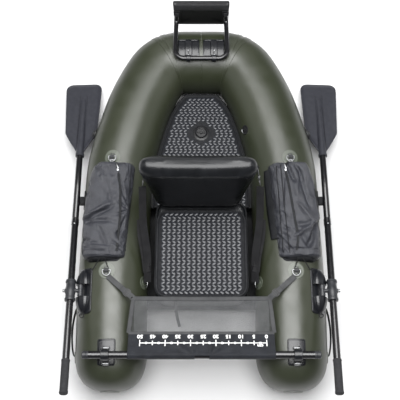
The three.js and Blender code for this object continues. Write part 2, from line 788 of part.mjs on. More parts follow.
boat.add(
  piece("floor_sheet", floorSheet(), blackRubber),
  piece("deck_block", deckBlock(), blackRubber),
  piece("deck_pad", deckPad(), evaFoam),
  piece("deck_valve", deckValve(), blackPlastic),
  piece("deck_valve_cap", deckValveCap(), blackPlastic),
  piece("seat_block", seatBlock(), seatSkin),
  piece("seat_pad", seatPad(), evaFoam),
  seatBackGroup,
  piece("foot_bar", footBar(), blackTube),
  piece("apron_sleeve", apronSleeve(), blackNylon),
  piece("apron_net", apronNet(), meshNylon),
  piece("motor_frame", motorFrame(), blackTube),
  piece("motor_board", motorBoard(), blackPlastic),
);

// Paired pieces are made once, for the +X side; the other side mirrors them.
const pairedPieces = [
  ["air_chamber", airChamber(), hullFabric],
  ["main_valve", mainValve(), blackPlastic],
  ["main_valve_cap", mainValveCap(), blackPlastic],
  ["front_ring_patch", ringPatch(FRONT_RING), patchFabric],
  ["front_d_ring", dRing(FRONT_RING), steel],
  ["rear_ring_patch", ringPatch(REAR_RING), patchFabric],
  ["rear_d_ring", dRing(REAR_RING), steel],
  ["backrest_strap", seatBackStrap(), blackWebbing],
  ["bar_mount", barMount(), blackRubber],
  ["apron_strap", apronStrap(), greyWebbing],
  ["carry_handle", carryHandle(), blackWebbing],
  ["side_bag", sideBag(), bagNylon],
  ["oarlock_pad", oarlockPad(), blackRubber],
  ["oarlock_block", lockBlock(), greyPlastic],
  ["oarlock_pin", lockPin(), steel],
  ["oar_rest", oarRest(), blackPlastic],
  ["motor_pad", motorPad(), blackRubber],
];
const oarPieces = [
  ["oar_sleeve", oarSleeve(), greyPlastic],
  ["oar_front_shaft", frontShaft(), blackTube],
  ["oar_rear_shaft", rearShaft(), blackTube],
  ["oar_snap_button", snapButton(), steel],
  ["oar_grip", oarGrip(), gripFoam],
  ["oar_blade", oarBlade(), bladePlastic],
];

for (const [side, sign] of [
  ["right", 1],
  ["left", -1],
]) {
  const half = new THREE.Group();
  half.scale.x = sign;
  for (const [name, shape, material] of pairedPieces) {
    half.add(piece(`${side}_${name}`, shape, material));
  }
  const oar = new THREE.Group();
  oar.applyMatrix4(oarFrame);
  for (const [name, shape, material] of oarPieces) {
    oar.add(piece(`${side}_${name}`, shape, material));
  }
  half.add(oar);
  boat.add(half);
}

const part = new THREE.Group();
part.add(boat);

export default part;
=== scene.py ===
import json
import math

import bmesh
import bpy
import numpy as np
from mathutils import Matrix, Vector, noise
from mathutils.bvhtree import BVHTree


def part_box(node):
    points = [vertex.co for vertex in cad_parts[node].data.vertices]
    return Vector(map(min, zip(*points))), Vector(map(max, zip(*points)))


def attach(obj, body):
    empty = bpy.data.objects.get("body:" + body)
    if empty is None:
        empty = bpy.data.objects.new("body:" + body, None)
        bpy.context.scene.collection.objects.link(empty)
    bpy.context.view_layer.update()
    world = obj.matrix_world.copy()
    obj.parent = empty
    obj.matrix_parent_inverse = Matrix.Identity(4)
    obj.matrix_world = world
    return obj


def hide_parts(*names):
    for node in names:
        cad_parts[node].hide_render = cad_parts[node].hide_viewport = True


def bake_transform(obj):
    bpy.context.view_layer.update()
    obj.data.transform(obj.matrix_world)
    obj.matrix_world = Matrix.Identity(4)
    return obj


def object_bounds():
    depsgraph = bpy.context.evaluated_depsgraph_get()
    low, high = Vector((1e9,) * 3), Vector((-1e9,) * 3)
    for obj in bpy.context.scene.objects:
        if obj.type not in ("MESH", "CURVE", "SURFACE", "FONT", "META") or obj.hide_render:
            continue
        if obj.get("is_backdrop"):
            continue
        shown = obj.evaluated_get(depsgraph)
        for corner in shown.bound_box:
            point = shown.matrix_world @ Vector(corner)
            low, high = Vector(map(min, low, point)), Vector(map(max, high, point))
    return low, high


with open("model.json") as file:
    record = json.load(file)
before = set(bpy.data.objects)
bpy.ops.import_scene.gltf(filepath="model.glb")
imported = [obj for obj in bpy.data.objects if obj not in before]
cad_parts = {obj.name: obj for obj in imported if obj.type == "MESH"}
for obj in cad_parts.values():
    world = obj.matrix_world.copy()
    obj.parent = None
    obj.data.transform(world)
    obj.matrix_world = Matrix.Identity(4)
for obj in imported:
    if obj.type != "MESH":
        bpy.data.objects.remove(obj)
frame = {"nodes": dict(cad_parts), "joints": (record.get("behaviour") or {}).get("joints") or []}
cad_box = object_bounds()
scene = bpy.context.scene
joints = {joint["name"]: joint for joint in frame["joints"]}
SIDES = ("right", "left")

# ---------------------------------------------------------------- shapes: (points, faces)


def grid_faces(rows, columns, loop_rows=False, loop_columns=True):
    """Quads between rows of points; a row closes on itself unless loop_columns is off."""
    faces = []
    for i in range(rows if loop_rows else rows - 1):
        for k in range(columns if loop_columns else columns - 1):
            a, b = i * columns, (i + 1) % rows * columns
            n = (k + 1) % columns
            faces.append((a + k, a + n, b + n, b + k))
    return faces


def loft(rings, loop=False):
    """A skin over closed rings of points."""
    count = len(rings[0])
    points = [Vector(p) for ring in rings for p in ring]
    faces = grid_faces(len(rings), count, loop_rows=loop)
    if not loop:
        faces.append(tuple(range(count)))
        faces.append(tuple(range(len(points) - count, len(points))))
    return points, faces


def circle(r, sides=20):
    turn = [2 * math.pi * k / sides for k in range(sides)]
    return [(r * math.cos(a), r * math.sin(a)) for a in turn]


def strip(width, thick):
    """A webbing's section: flat with rounded edges."""
    w, t = width / 2, thick / 2
    return [(w, 0), (w - t, t), (-w + t, t), (-w, 0), (-w + t, -t), (w - t, -t)]


def sweep(path, section, up=(0, 0, 1), loop=False):
    """A section moved along a path; the section's second axis stays near up."""
    path = [Vector(p) for p in path]
    rings = []
    for i, p in enumerate(path):
        if loop:
            along = path[(i + 1) % len(path)] - path[i - 1]
        else:
            along = path[min(i + 1, len(path) - 1)] - path[max(i - 1, 0)]
        along.normalize()
        side = along.cross(Vector(up))
        if side.length < 1e-4:
            side = along.cross(Vector((1, 0, 0)))
        side.normalize()
        over = side.cross(along)
        rings.append([p + side * a + over * b for a, b in section])
    return loft(rings, loop=loop)


def lathe(profile, matrix=Matrix(), steps=32):
    """A profile of (radius, height) turned about the matrix's Z axis."""
    rings = []
    for r, h in profile:
        rings.append([matrix @ Vector((x, y, h)) for x, y in circle(max(r, 1e-5), steps)])
    return loft(rings)


def block(size, matrix=Matrix(), bevel=0.002, segments=2):
    """A box with rounded edges."""
    bm = bmesh.new()
    bmesh.ops.create_cube(bm, size=1.0)
    bmesh.ops.scale(bm, vec=size, verts=bm.verts)
    bmesh.ops.bevel(
        bm, geom=bm.edges, offset=bevel, segments=segments, profile=0.6, affect="EDGES"
    )
    shape = [matrix @ v.co for v in bm.verts], [tuple(v.index for v in f.verts) for f in bm.faces]
    bm.free()
    return shape


def at(x, y, z, turn_x=0, turn_y=0, turn_z=0):
    turns = [(turn_x, "X"), (turn_y, "Y"), (turn_z, "Z")]
    matrix = Matrix()
    for angle, axis in turns:
        matrix = Matrix.Rotation(math.radians(angle), 4, axis) @ matrix
    return Matrix.Translation((x, y, z)) @ matrix


def moved(shape, matrix):
    return [matrix @ Vector(p) for p in shape[0]], shape[1]


def mirrored(shape):
    return [Vector((-p.x, p.y, p.z)) for p in shape[0]], [f[::-1] for f in shape[1]]


def arc(centre, r, start, end, steps):
    """Points on a level circle."""
    points = []
    for i in range(steps + 1):
        a = math.radians(start + (end - start) * i / steps)
        p = list(centre)
        p[0] += r * math.cos(a)
        p[1] += r * math.sin(a)
        points.append(Vector(p))
    return points


def spline(points, steps=8):
    """A smooth Catmull-Rom line through points."""
    p = [Vector(q) for q in points]
    p = [2 * p[0] - p[1], *p, 2 * p[-1] - p[-2]]
    line = []
    for i in range(1, len(p) - 2):
        for k in range(steps):
            t = k / steps
            a, b, c, d = p[i - 1 : i + 3]
            line.append(
                0.5
                * (2 * b + (c - a) * t + (2 * a - 5 * b + 4 * c - d) * t**2)
                + 0.5 * (3 * b - a - 3 * c + d) * t**3
            )
    return line + [p[-2]]


def outline_of(node, keep=None):
    """The plan outline of a node's top face, counterclockwise, in even steps."""
    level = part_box(node)[1].z
    found = {
        (round(v.co.x, 5), round(v.co.y, 5))
        for v in frame["nodes"][node].data.vertices
        if abs(v.co.z - level) < 2e-4 and (keep is None or keep(v.co))
    }
    centre = np.mean(list(found), axis=0)
    ordered = sorted(found, key=lambda p: math.atan2(p[1] - centre[1], p[0] - centre[0]))
    return even(ordered)


def even(points, step=0.006, smooth=2):
    """A closed outline again in even steps, with its corners softened a little."""
    p = np.array(points, float)
    loop = np.vstack([p, p[:1]])
    far = np.concatenate([[0], np.cumsum(np.linalg.norm(np.diff(loop, axis=0), axis=1))])
    stops = np.linspace(0, far[-1], int(far[-1] / step), endpoint=False)
    out = np.stack([np.interp(stops, far, loop[:, i]) for i in (0, 1)], axis=1)
    for _ in range(smooth):
        out = (np.roll(out, 1, 0) + 2 * out + np.roll(out, -1, 0)) / 4
    return out


def inset(outline, d):
    """The outline moved inward by d."""
    ahead = np.roll(outline, -1, 0) - np.roll(outline, 1, 0)
    ahead /= np.linalg.norm(ahead, axis=1)[:, None]
    return outline + d * np.stack([-ahead[:, 1], ahead[:, 0]], axis=1)


def rounded(half_a, half_b, r):
    """A rounded rectangle's outline about the origin, counterclockwise."""
    steps = 6
    points = []
    for quarter, (sa, sb) in enumerate([(1, 1), (-1, 1), (-1, -1), (1, -1)]):
        for k in range(steps + 1):
            a = math.radians(90 * quarter + 90 * k / steps)
            points.append((sa * (half_a - r) + r * math.cos(a), sb * (half_b - r) + r * math.sin(a)))
    return even(points, step=min(half_a, half_b) / 8, smooth=0)


def mound(outline, profile, place, core=(0.75, 0.5, 0.25, 0.02)):
    """A pad: the outline inset and raised as the profile says, then closed in towards its middle."""
    rings = []
    for d, h in profile:
        rings.append([place(x, y, h) for x, y in inset(outline, d)])
    last = inset(outline, profile[-1][0])
    middle = last.mean(axis=0)
    for share in core:
        rings.append([place(x, y, profile[-1][1]) for x, y in middle + (last - middle) * share])
    return loft(rings)


def level_at(z):
    """A place for a flat pad: its heights count from z."""
    return lambda x, y, h: Vector((x, y, z + h))


# ---------------------------------------------------------------- materials


def look(name, color, roughness, metallic=0.0, coat=0.0, sheen=0.0, specular=0.5):
    """A material with a Principled shader; the node makers below add to it."""
    made = bpy.data.materials.new(name)
    made.use_nodes = True
    tree = made.node_tree
    shader = tree.nodes["Principled BSDF"]
    shader.inputs["Base Color"].default_value = (*color, 1)
    shader.inputs["Roughness"].default_value = roughness
    shader.inputs["Metallic"].default_value = metallic
    shader.inputs["Coat Weight"].default_value = coat
    shader.inputs["Coat Roughness"].default_value = 0.12
    shader.inputs["Sheen Weight"].default_value = sheen
    shader.inputs["Specular IOR Level"].default_value = specular
    return made


def node(made, kind, **values):
    new = made.node_tree.nodes.new(kind)
    for key, value in values.items():
        setattr(new, key, value)
    return new


def texture(made, kind, scale, stretch=(1, 1, 1), **inputs):
    """A texture in the object's own metres."""
    links = made.node_tree.links
    place = node(made, "ShaderNodeTexCoord")
    mapping = node(made, "ShaderNodeMapping")
    mapping.inputs["Scale"].default_value = stretch
    made_texture = node(made, kind)
    made_texture.inputs["Scale"].default_value = scale
    for key, value in inputs.items():
        made_texture.inputs[key.replace("_", " ")].default_value = value
    links.new(place.outputs["Object"], mapping.inputs["Vector"])
    links.new(mapping.outputs["Vector"], made_texture.inputs["Vector"])
    return made_texture


def ramp(made, source, low, high):
    """Two colours, or two values, mixed by a texture."""
    band = node(made, "ShaderNodeValToRGB")
    band.color_ramp.elements[0].position = 0.3
    band.color_ramp.elements[1].position = 0.7
    for element, value in zip(band.color_ramp.elements, (low, high)):
        element.color = (*value, 1) if isinstance(value, tuple) else (value, value, value, 1)
    made.node_tree.links.new(source, band.inputs["Fac"])
    return band.outputs["Color"]


def vary(made, source, low, high, socket="Base Color"):
    shader = made.node_tree.nodes["Principled BSDF"]
    made.node_tree.links.new(ramp(made, source, low, high), shader.inputs[socket])


def bump(made, *layers):
    """Bumps on top of each other: (height output, depth in metres)."""
    shader = made.node_tree.nodes["Principled BSDF"]
    before = None
    for source, depth in layers:
        step = node(made, "ShaderNodeBump")
        step.inputs["Strength"].default_value = 1.0
        step.inputs["Distance"].default_value = depth
        made.node_tree.links.new(source, step.inputs["Height"])
        if before:
            made.node_tree.links.new(before, step.inputs["Normal"])
        before = step.outputs["Normal"]
    made.node_tree.links.new(before, shader.inputs["Normal"])


def noise_of(made, scale, detail=4.0):
    return texture(made, "ShaderNodeTexNoise", scale, Detail=detail).outputs["Fac"]


def threads(made, pitch):
    """Crossing threads of a woven cloth, pitch metres apart."""
    wave_scale = math.pi / 10 / pitch
    across = texture(made, "ShaderNodeTexWave", wave_scale)
    across.bands_direction = "X"
    down = texture(made, "ShaderNodeTexWave", wave_scale)
    down.bands_direction = "Y"
    mix = node(made, "ShaderNodeMath", operation="MULTIPLY")
    made.node_tree.links.new(across.outputs["Fac"], mix.inputs[0])
    made.node_tree.links.new(down.outputs["Fac"], mix.inputs[1])
    return mix.outputs[0]


def pvc(name, low, high, roughness, specular=0.62):
    """Coated fabric: satin, faintly cloudy, with the scrim showing through."""
    made = look(name, low, roughness, specular=specular)
    vary(made, noise_of(made, 3.5), low, high)
    rough = noise_of(made, 14.0)
    vary(made, rough, roughness - 0.05, roughness + 0.07, "Roughness")
    bump(made, (noise_of(made, 9.0, 3.0), 0.0012), (threads(made, 0.0014), 0.00003))
    return made


def vinyl(name, color, roughness, grain=260.0, coat=0.3, specular=0.4):
    """Leather-grained vinyl or moulded rubber."""
    made = look(name, color, roughness, coat=coat, specular=specular)
    vary(made, noise_of(made, 22.0), color, tuple(c * 1.6 + 0.002 for c in color))
    cells = texture(made, "ShaderNodeTexVoronoi", grain)
    bump(made, (noise_of(made, 18.0), 0.0008), (cells.outputs["Distance"], 0.0002))
    return made


def cloth(name, low, high, roughness, pitch=0.0012, sheen=0.0, specular=0.25):
    """Woven nylon or webbing."""
    made = look(name, low, roughness, sheen=sheen, specular=specular)
    vary(made, noise_of(made, 30.0, 6.0), low, high)
    bump(made, (noise_of(made, 45.0, 5.0), 0.0006), (threads(made, pitch), 0.00035))
    return made


def plastic(name, color, roughness, coat=0.0, metallic=0.0, fine=900.0, specular=0.4):
    """Moulded plastic, painted tube or steel with small surface marks."""
    made = look(name, color, roughness, metallic=metallic, coat=coat, specular=specular)
    wear = noise_of(made, 60.0, 8.0)
    vary(made, wear, color, tuple(min(1.0, c * 1.25 + 0.003) for c in color))
    vary(made, noise_of(made, 120.0, 6.0), roughness * 0.85, min(1.0, roughness * 1.3), "Roughness")
    bump(made, (noise_of(made, fine, 3.0), 0.00008))
    return made


hull_look = pvc("hull_pvc", (0.019, 0.023, 0.012), (0.026, 0.030, 0.017), 0.37)
patch_look = pvc("patch_pvc", (0.050, 0.058, 0.042), (0.068, 0.078, 0.058), 0.38)
floor_look = pvc("floor_pvc", (0.004, 0.0045, 0.005), (0.007, 0.0075, 0.009), 0.5, 0.2)
seat_look = vinyl("seat_vinyl", (0.0025, 0.003, 0.004), 0.36, coat=0.15, specular=0.35)
rubber_look = vinyl("moulded_rubber", (0.004, 0.0045, 0.006), 0.28, grain=420.0, coat=0.2)
foam_look = plastic("eva_foam", (0.013, 0.0145, 0.019), 0.31, coat=0.2, fine=1400.0)
# A darker copy of the EVA foam: on the pads it is painted shade in the gaps between the herringbone bars; the
# oar rests take it as their own dark colour.
dark_foam_and_gap_shade_look = plastic("eva_dark_and_gap_shade", (0.005, 0.0055, 0.007), 0.62, fine=1400.0, specular=0.2)
sleeve_look = cloth("apron_nylon", (0.010, 0.011, 0.014), (0.018, 0.020, 0.025), 0.42, 0.0009)
net_look = cloth("apron_net", (0.105, 0.108, 0.112), (0.145, 0.148, 0.153), 0.7, 0.0008)
webbing_look = cloth("grey_webbing", (0.040, 0.041, 0.043), (0.062, 0.063, 0.065), 0.75, 0.0022)
strap_look = cloth("black_webbing", (0.006, 0.006, 0.007), (0.012, 0.012, 0.013), 0.72, 0.0022)
bag_look = cloth("bag_nylon", (0.024, 0.025, 0.031), (0.038, 0.040, 0.048), 0.38, 0.001, 0.0, 0.45)
bag_dark_look = cloth("bag_base", (0.006, 0.0065, 0.008), (0.012, 0.013, 0.015), 0.6)
tube_look = plastic("painted_tube", (0.004, 0.004, 0.005), 0.18, coat=0.5)
black_look = plastic("black_plastic", (0.006, 0.006, 0.007), 0.36)
grey_look = plastic("grey_plastic", (0.018, 0.019, 0.022), 0.36)
ridge_look = plastic("ridge_plastic", (0.036, 0.037, 0.040), 0.45)
grip_look = plastic("grip_foam", (0.018, 0.018, 0.02), 0.85, fine=500.0)
blade_look = plastic("blade_plastic", (0.020, 0.021, 0.027), 0.5, specular=0.3)
steel_look = plastic("steel", (0.27, 0.274, 0.28), 0.33, metallic=1.0)
mark_look = plastic("ruler_ink", (0.82, 0.82, 0.80), 0.55)

# ---------------------------------------------------------------- pieces


def piece(name, shapes, material, body, slot, *stands_for, sharp=38):
    points, faces = [], []
    for shape in shapes:
        shift = len(points)
        points.extend(shape[0])
        faces.extend(tuple(k + shift for k in face) for face in shape[1])
    mesh = bpy.data.meshes.new(name)
    mesh.from_pydata([tuple(p) for p in points], [], faces)
    bm = bmesh.new()
    bm.from_mesh(mesh)
    bmesh.ops.recalc_face_normals(bm, faces=bm.faces)
    bm.to_mesh(mesh)
    bm.free()
    mesh.shade_smooth()
    mesh.set_sharp_from_angle(angle=math.radians(sharp))
    mesh.materials.append(material)
    made = bpy.data.objects.new(name, mesh)
    scene.collection.objects.link(made)
    if body:
        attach(made, body)
    if stands_for:
        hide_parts(*stands_for)
    return made


def both(name, shapes, material, body, slot, *stands_for, sharp=38):
    """A piece for each side; {side} in the names is filled in, and the left one is mirrored."""
    made = []
    for side in SIDES:
        own = shapes if side == "right" else [mirrored(shape) for shape in shapes]
        nodes = [n.format(side=side) for n in stands_for]
        made.append(
            piece(
                name.format(side=side),
                own,
                material,
                body.format(side=side),
                slot,
                *nodes,
                sharp=sharp,
            )
        )
    return made


# ---------------------------------------------------------------- the hull

tube_low, tube_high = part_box("right_air_chamber")
TUBE_R = (tube_high.z - tube_low.z) / 2
BOW_Y = tube_low.y
NOSE_LENGTH = 0.170
NOSE_POWER = 2.6
SHOULDER = Vector((0.185, 0.670, 0))  # where the stern turns most sharply
SHOULDER_OUT = Vector((0.55, 0.83, 0)) * 0.015  # how far it stands out from the CAD's centre line
SHOULDER_REACH = 0.10
SKIN_R = TUBE_R - 0.001  # the smooth skin lies just inside the pads, which were cut from a faceted tube


def crest_line():
    """The tube's centre line in plan, from the bow to the middle of the stern.

    It runs under the CAD tube's crest. The shoulder is pushed out, and the stern is level past it.
    """
    crest = {
        (round(v.co.x, 4), round(v.co.y, 4))
        for v in frame["nodes"]["right_air_chamber"].data.vertices
        if v.co.z > tube_high.z - 0.0006
    }
    ordered = sorted(crest, key=lambda p: math.atan2(p[0] + 0.02, p[1] - 0.3), reverse=True)
    start = ordered[0]
    past_middle = (-ordered[-2][0], ordered[-2][1])
    points = spline([(start[0], BOW_Y, 0), *[(x, y, 0) for x, y in [*ordered, past_middle]]], 24)
    points = [p for p in points if p.x > -0.0002]
    for p in points:
        p += SHOULDER_OUT * math.exp(-(((p - SHOULDER).length / SHOULDER_REACH) ** 2))
    crown = max(points, key=lambda p: p.y)
    for p in points:
        if p.x < crown.x:
            p.y = crown.y
    return points


line = crest_line()
run = [0.0]
for a, b in zip(line, line[1:]):
    run.append(run[-1] + (b - a).length)


def on_line(s):
    """The centre line's point and direction at a distance s from the bow."""
    i = int(np.clip(np.searchsorted(run, s), 1, len(run) - 1))
    t = (s - run[i - 1]) / max(run[i] - run[i - 1], 1e-9)
    ahead = (line[min(i + 1, len(line) - 1)] - line[max(i - 2, 0)]).normalized()
    return line[i - 1].lerp(line[i], t), ahead


def skin(s, angle, lift=0.0):
    """A point on the right tube: s along it, angle up from its outer side, lift above its skin."""
    centre, ahead = on_line(s)
    side = Vector((ahead.y, -ahead.x, 0))
    r = SKIN_R + lift
    if s < NOSE_LENGTH:
        reach = 1 - max(s, 0.002) / NOSE_LENGTH
        r = SKIN_R * (1 - reach**NOSE_POWER) ** (1 / NOSE_POWER) + lift
    a = math.radians(angle)
    return centre + side * (r * math.cos(a)) + Vector((0, 0, TUBE_R + r * math.sin(a)))


def spot(x, y):
    """(s, angle) of the skin's point above a plan position."""
    flat = Vector((x, y, 0))
    i = min(range(len(line)), key=lambda k: (line[k] - flat).length)
    centre, ahead = on_line(run[i])
    across = (flat - centre).dot(Vector((ahead.y, -ahead.x, 0)))
    return run[i], math.degrees(math.acos(max(-1, min(1, across / SKIN_R))))


def on_skin(s0, angle0):
    """Places a pad's own (along, outward, height) on the skin about (s0, angle0)."""
    return lambda x, y, h: skin(s0 + x, angle0 - math.degrees(y / SKIN_R), h)


def band(s0, width, thick):
    """A flat band round the tube."""
    steps = 72
    edge = 0.0015
    profile = [
        (-width / 2, -0.0008),
        (-width / 2 + edge, thick),
        (width / 2 - edge, thick),
        (width / 2, -0.0008),
    ]
    rings = []
    for k in range(steps):
        rings.append([skin(s0 + d, 360 * k / steps, h) for d, h in profile])
    return loft(rings, loop=True)


def hull():
    nose = [NOSE_LENGTH * (1 - math.cos(math.pi / 2 * k / 18)) for k in range(19)]
    rest = np.linspace(NOSE_LENGTH, run[-1], 170)[1:]
    rings = []
    for s in [*nose, *rest]:
        ring = [skin(s, 360 * k / 80) for k in range(80)]
        rings.append(ring)
    for p in rings[-1]:
        p.x = 0.0003
    both(
        "{side}_chamber_skin",
        [loft(rings)],
        hull_look,
        "hull",
        "hull_fabric",
        "{side}_air_chamber",
    )
    seam_s = min(run, key=lambda s: abs(on_line(s)[0].x - 0.155) + (0 if s > 1 else 9))
    shapes = [band(seam_s - 0.011, 0.016, 0.0022), band(seam_s + 0.011, 0.016, 0.0022)]
    both("{side}_weld_tapes", shapes, hull_look, "hull", "hull_fabric")


hull()


def floor_and_deck():
    """The carried-over floor and deck solids take a material and a rounded edge."""
    for name in ("floor_sheet", "deck_block"):
        solid = frame["nodes"][name]
        solid.data.materials.clear()
        solid.data.materials.append(floor_look)
        edge = solid.modifiers.new("round", "BEVEL")
        edge.width = 0.001 if name == "floor_sheet" else 0.005
        edge.segments = 3


floor_and_deck()

# ---------------------------------------------------------------- foam pads

STROKE = {"across": 0.0215, "row": 0.0138, "length": 0.0255, "width": 0.0130, "high": 0.0028}


def stroke(x, y, slant, z):
    """One raised bar of the herringbone."""
    half, w = STROKE["length"] / 2, STROKE["width"] / 2
    ahead = Vector((math.cos(slant), math.sin(slant), 0))
    side = Vector((-ahead.y, ahead.x, 0))
    base = [(half, 0), (half - w, w), (w - half, w), (-half, 0), (w - half, -w), (half - w, -w)]
    centre = Vector((x, y, z))
    rings = []
    for share, h in ((1.0, -0.0004), (0.92, 0.7), (0.74, 1.0)):
        lift = Vector((0, 0, h * STROKE["high"] if h > 0 else h))
        squeeze = half - (1 - share) * w
        rings.append(
            [centre + ahead * (a / half * squeeze) + side * (b * share) + lift for a, b in base]
        )
    return loft(rings)


def herringbone(outline, z, skip=None):
    """Rows of bars that slant one way and then the other, inside the outline."""
    low, high = outline.min(axis=0), outline.max(axis=0)
    shapes = []
    rows = int((high[1] - low[1]) / STROKE["row"])
    margin = STROKE["length"] * 0.42
    for r in range(rows + 1):
        y = low[1] + (r + 0.5) * STROKE["row"]
        slant = math.radians(33 if r % 2 else -33)
        crossing = []
        for a, b in zip(outline, np.roll(outline, -1, 0)):
            if (a[1] - y) * (b[1] - y) < 0:
                crossing.append(a[0] + (y - a[1]) / (b[1] - a[1]) * (b[0] - a[0]))
        if len(crossing) < 2:
            continue
        left, right = min(crossing) + margin, max(crossing) - margin
        count = int((right - left) / STROKE["across"])
        for k in range(count + 1):
            x = (k - count / 2) * STROKE["across"] + (left + right) / 2
            if skip is None or not skip(x, y):
                shapes.append(stroke(x, y, slant, z))
    return shapes


def foam_pad(name, node_name, body, slot, border, keep=None, skip=None):
    """A foam pad: a moulded base with a raised binding and the herringbone on it. The base and binding are
    coloured darker than the bars: painted shade in the gaps between the bars.
    """
    low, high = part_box(node_name)
    outline = outline_of(node_name, keep=keep)
    thick = high.z - low.z
    place = level_at(low.z)
    top = thick - STROKE["high"]
    base = mound(outline, [(0.003, 0), (0, 0.0015), (0, top - 0.0015), (0.002, top)], place)
    rim = [(0.0015, top - 0.001), (0.002, thick), (border - 0.004, thick), (border, top - 0.001)]
    rings = [[place(x, y, h) for x, y in inset(outline, d)] for d, h in rim]
    # The base and binding take the darker foam, as painted shade between the bars.
    made = piece(name, [base, loft(rings, loop=True)], dark_foam_and_gap_shade_look, body, slot, node_name)
    bars = herringbone(inset(outline, border + 0.001), low.z + top, skip)
    piece(name + "_herringbone", bars, foam_look, body, slot, sharp=80)
    return made


valve_low, valve_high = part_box("deck_valve")
valve_at = (valve_low + valve_high) / 2
VALVE_R = (valve_high.x - valve_low.x) / 2


def off_valve(co):
    return math.hypot(co.x - valve_at.x, co.y - valve_at.y) > VALVE_R + 0.006


foam_pad("deck_foam", "deck_pad", "hull", "eva_foam", 0.010, off_valve,
         lambda x, y: math.hypot(x, y - valve_at.y) < VALVE_R + 0.016)
foam_pad("seat_foam", "seat_pad", "hull", "eva_foam", 0.012)

# ---------------------------------------------------------------- inflated seat and back


def inflate(made, voxel, pressure, cap, frames, seed_push=0.0, keep_still=None, looseness=0.0):
    """Swells a closed mesh as cloth under pressure; no point moves further than cap."""
    bpy.context.view_layer.objects.active = made
    remesh = made.modifiers.new("remesh", "REMESH")
    remesh.mode = "VOXEL"
    remesh.voxel_size = voxel
    bpy.ops.object.modifier_apply(modifier="remesh")
    start = np.array([v.co for v in made.data.vertices])
    if seed_push:
        for v in made.data.vertices:
            v.co += v.normal * seed_push * noise.noise(v.co * 24)
    if keep_still:
        group = made.vertex_groups.new(name="still")
        group.add([v.index for v in made.data.vertices if keep_still(v.co)], 1.0, "ADD")
    sim = made.modifiers.new("cloth", "CLOTH")
    sim.settings.quality = 5
    sim.settings.mass = 0.3
    sim.settings.tension_stiffness = 30
    sim.settings.compression_stiffness = 30
    sim.settings.bending_stiffness = 0.15
    sim.settings.use_pressure = True
    sim.settings.uniform_pressure_force = pressure
    sim.settings.shrink_min = -looseness
    sim.settings.effector_weights.gravity = 0
    if keep_still:
        sim.settings.vertex_group_mass = "still"
    for f in range(1, frames + 1):
        scene.frame_set(f)
    bpy.ops.object.modifier_apply(modifier="cloth")
    scene.frame_set(1)
    end = np.array([v.co for v in made.data.vertices])
    move = end - start
    far = np.linalg.norm(move, axis=1)[:, None]
    move *= np.minimum(1, cap / np.maximum(far, 1e-9))
    made.data.vertices.foreach_set("co", (start + move).astype(np.float32).ravel())
    made.data.update()
    made.data.shade_smooth()
    fine = made.modifiers.new("fine", "SUBSURF")
    fine.levels = fine.render_levels = 1


def seat():
    """The inflated block: sides that bulge between two welded edges, and a piping round the top."""
    low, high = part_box("seat_block")
    outline = outline_of("seat_block")
    tall = high.z - low.z
    side = [(0.020, 0), (0.008, 0.006)]
    for k in range(9):
        t = k / 8
        side.append((0.006 - 0.006 * math.sin(math.pi * t), 0.012 + t * (tall - 0.024)))
    side += [(0.009, tall - 0.006), (0.018, tall - 0.001), (0.026, tall)]
    body = mound(outline, side, level_at(low.z))
    made = piece("seat_cushion", [body], seat_look, "hull", "seat_fabric", "seat_block")
    shapes = []
    for z, d, r in ((high.z - 0.0035, 0.0042, 0.0040), (low.z + 0.012, 0.005, 0.003)):
        path = [Vector((x, y, z)) for x, y in inset(outline, d)]
        shapes.append(sweep(path, circle(r, 8), loop=True))
    piece("seat_piping", shapes, seat_look, "hull", "seat_fabric")
    box_y = high.y - 0.0005
    plug = [(0.012, 0), (0.012, 0.002), (0.009, 0.003), (0.009, 0.001), (0.001, 0.001)]
    centre = at(0.12, box_y, low.z + 0.06, -90)
    piece("seat_valve", [lathe(plug, centre)], black_look, "hull", "valve_plastic")


seat()

fold = joints["backrest_fold"]
HINGE = Vector(fold["pos_m"])
LEAN = math.radians(6)
BACK_LOW = 0.190
BACK_TOP = 0.258
BACK_TALL = 0.345
BACK_THICK = 0.100
BACK_X = -0.013
back_frame = Matrix.Translation(HINGE + Vector((BACK_X, 0, 0))) @ Matrix.Rotation(-LEAN, 4, "X")


def back_ring(t, shrink):
    """The seat back's section at a share t of its height: a rounded slab."""
    z = 0.004 + (BACK_TALL - 0.008) * t
    half = BACK_LOW + (BACK_TOP - BACK_LOW) * t
    for end, r in ((z, 0.03), (BACK_TALL - z, 0.062)):
        if end < r:
            half -= r - math.sqrt(max(r * r - (r - end) ** 2, 0))
    thick = BACK_THICK / 2
    for end, r, least in ((z, 0.026, 0.35), (BACK_TALL - z, 0.050, 0.10)):
        if end < r:
            thick *= least + (1 - least) * math.sqrt(max(1 - ((r - end) / r) ** 2, 0))
    ring = []
    for k in range(48):
        a = 2 * math.pi * k / 48
        c, s = math.cos(a), math.sin(a)
        x = math.copysign(abs(c) ** 0.32, c) * (half - shrink)
        y = math.copysign(abs(s) ** 0.62, s) * (thick - shrink) + BACK_THICK / 2
        ring.append(back_frame @ Vector((x, y, z)))
    return ring


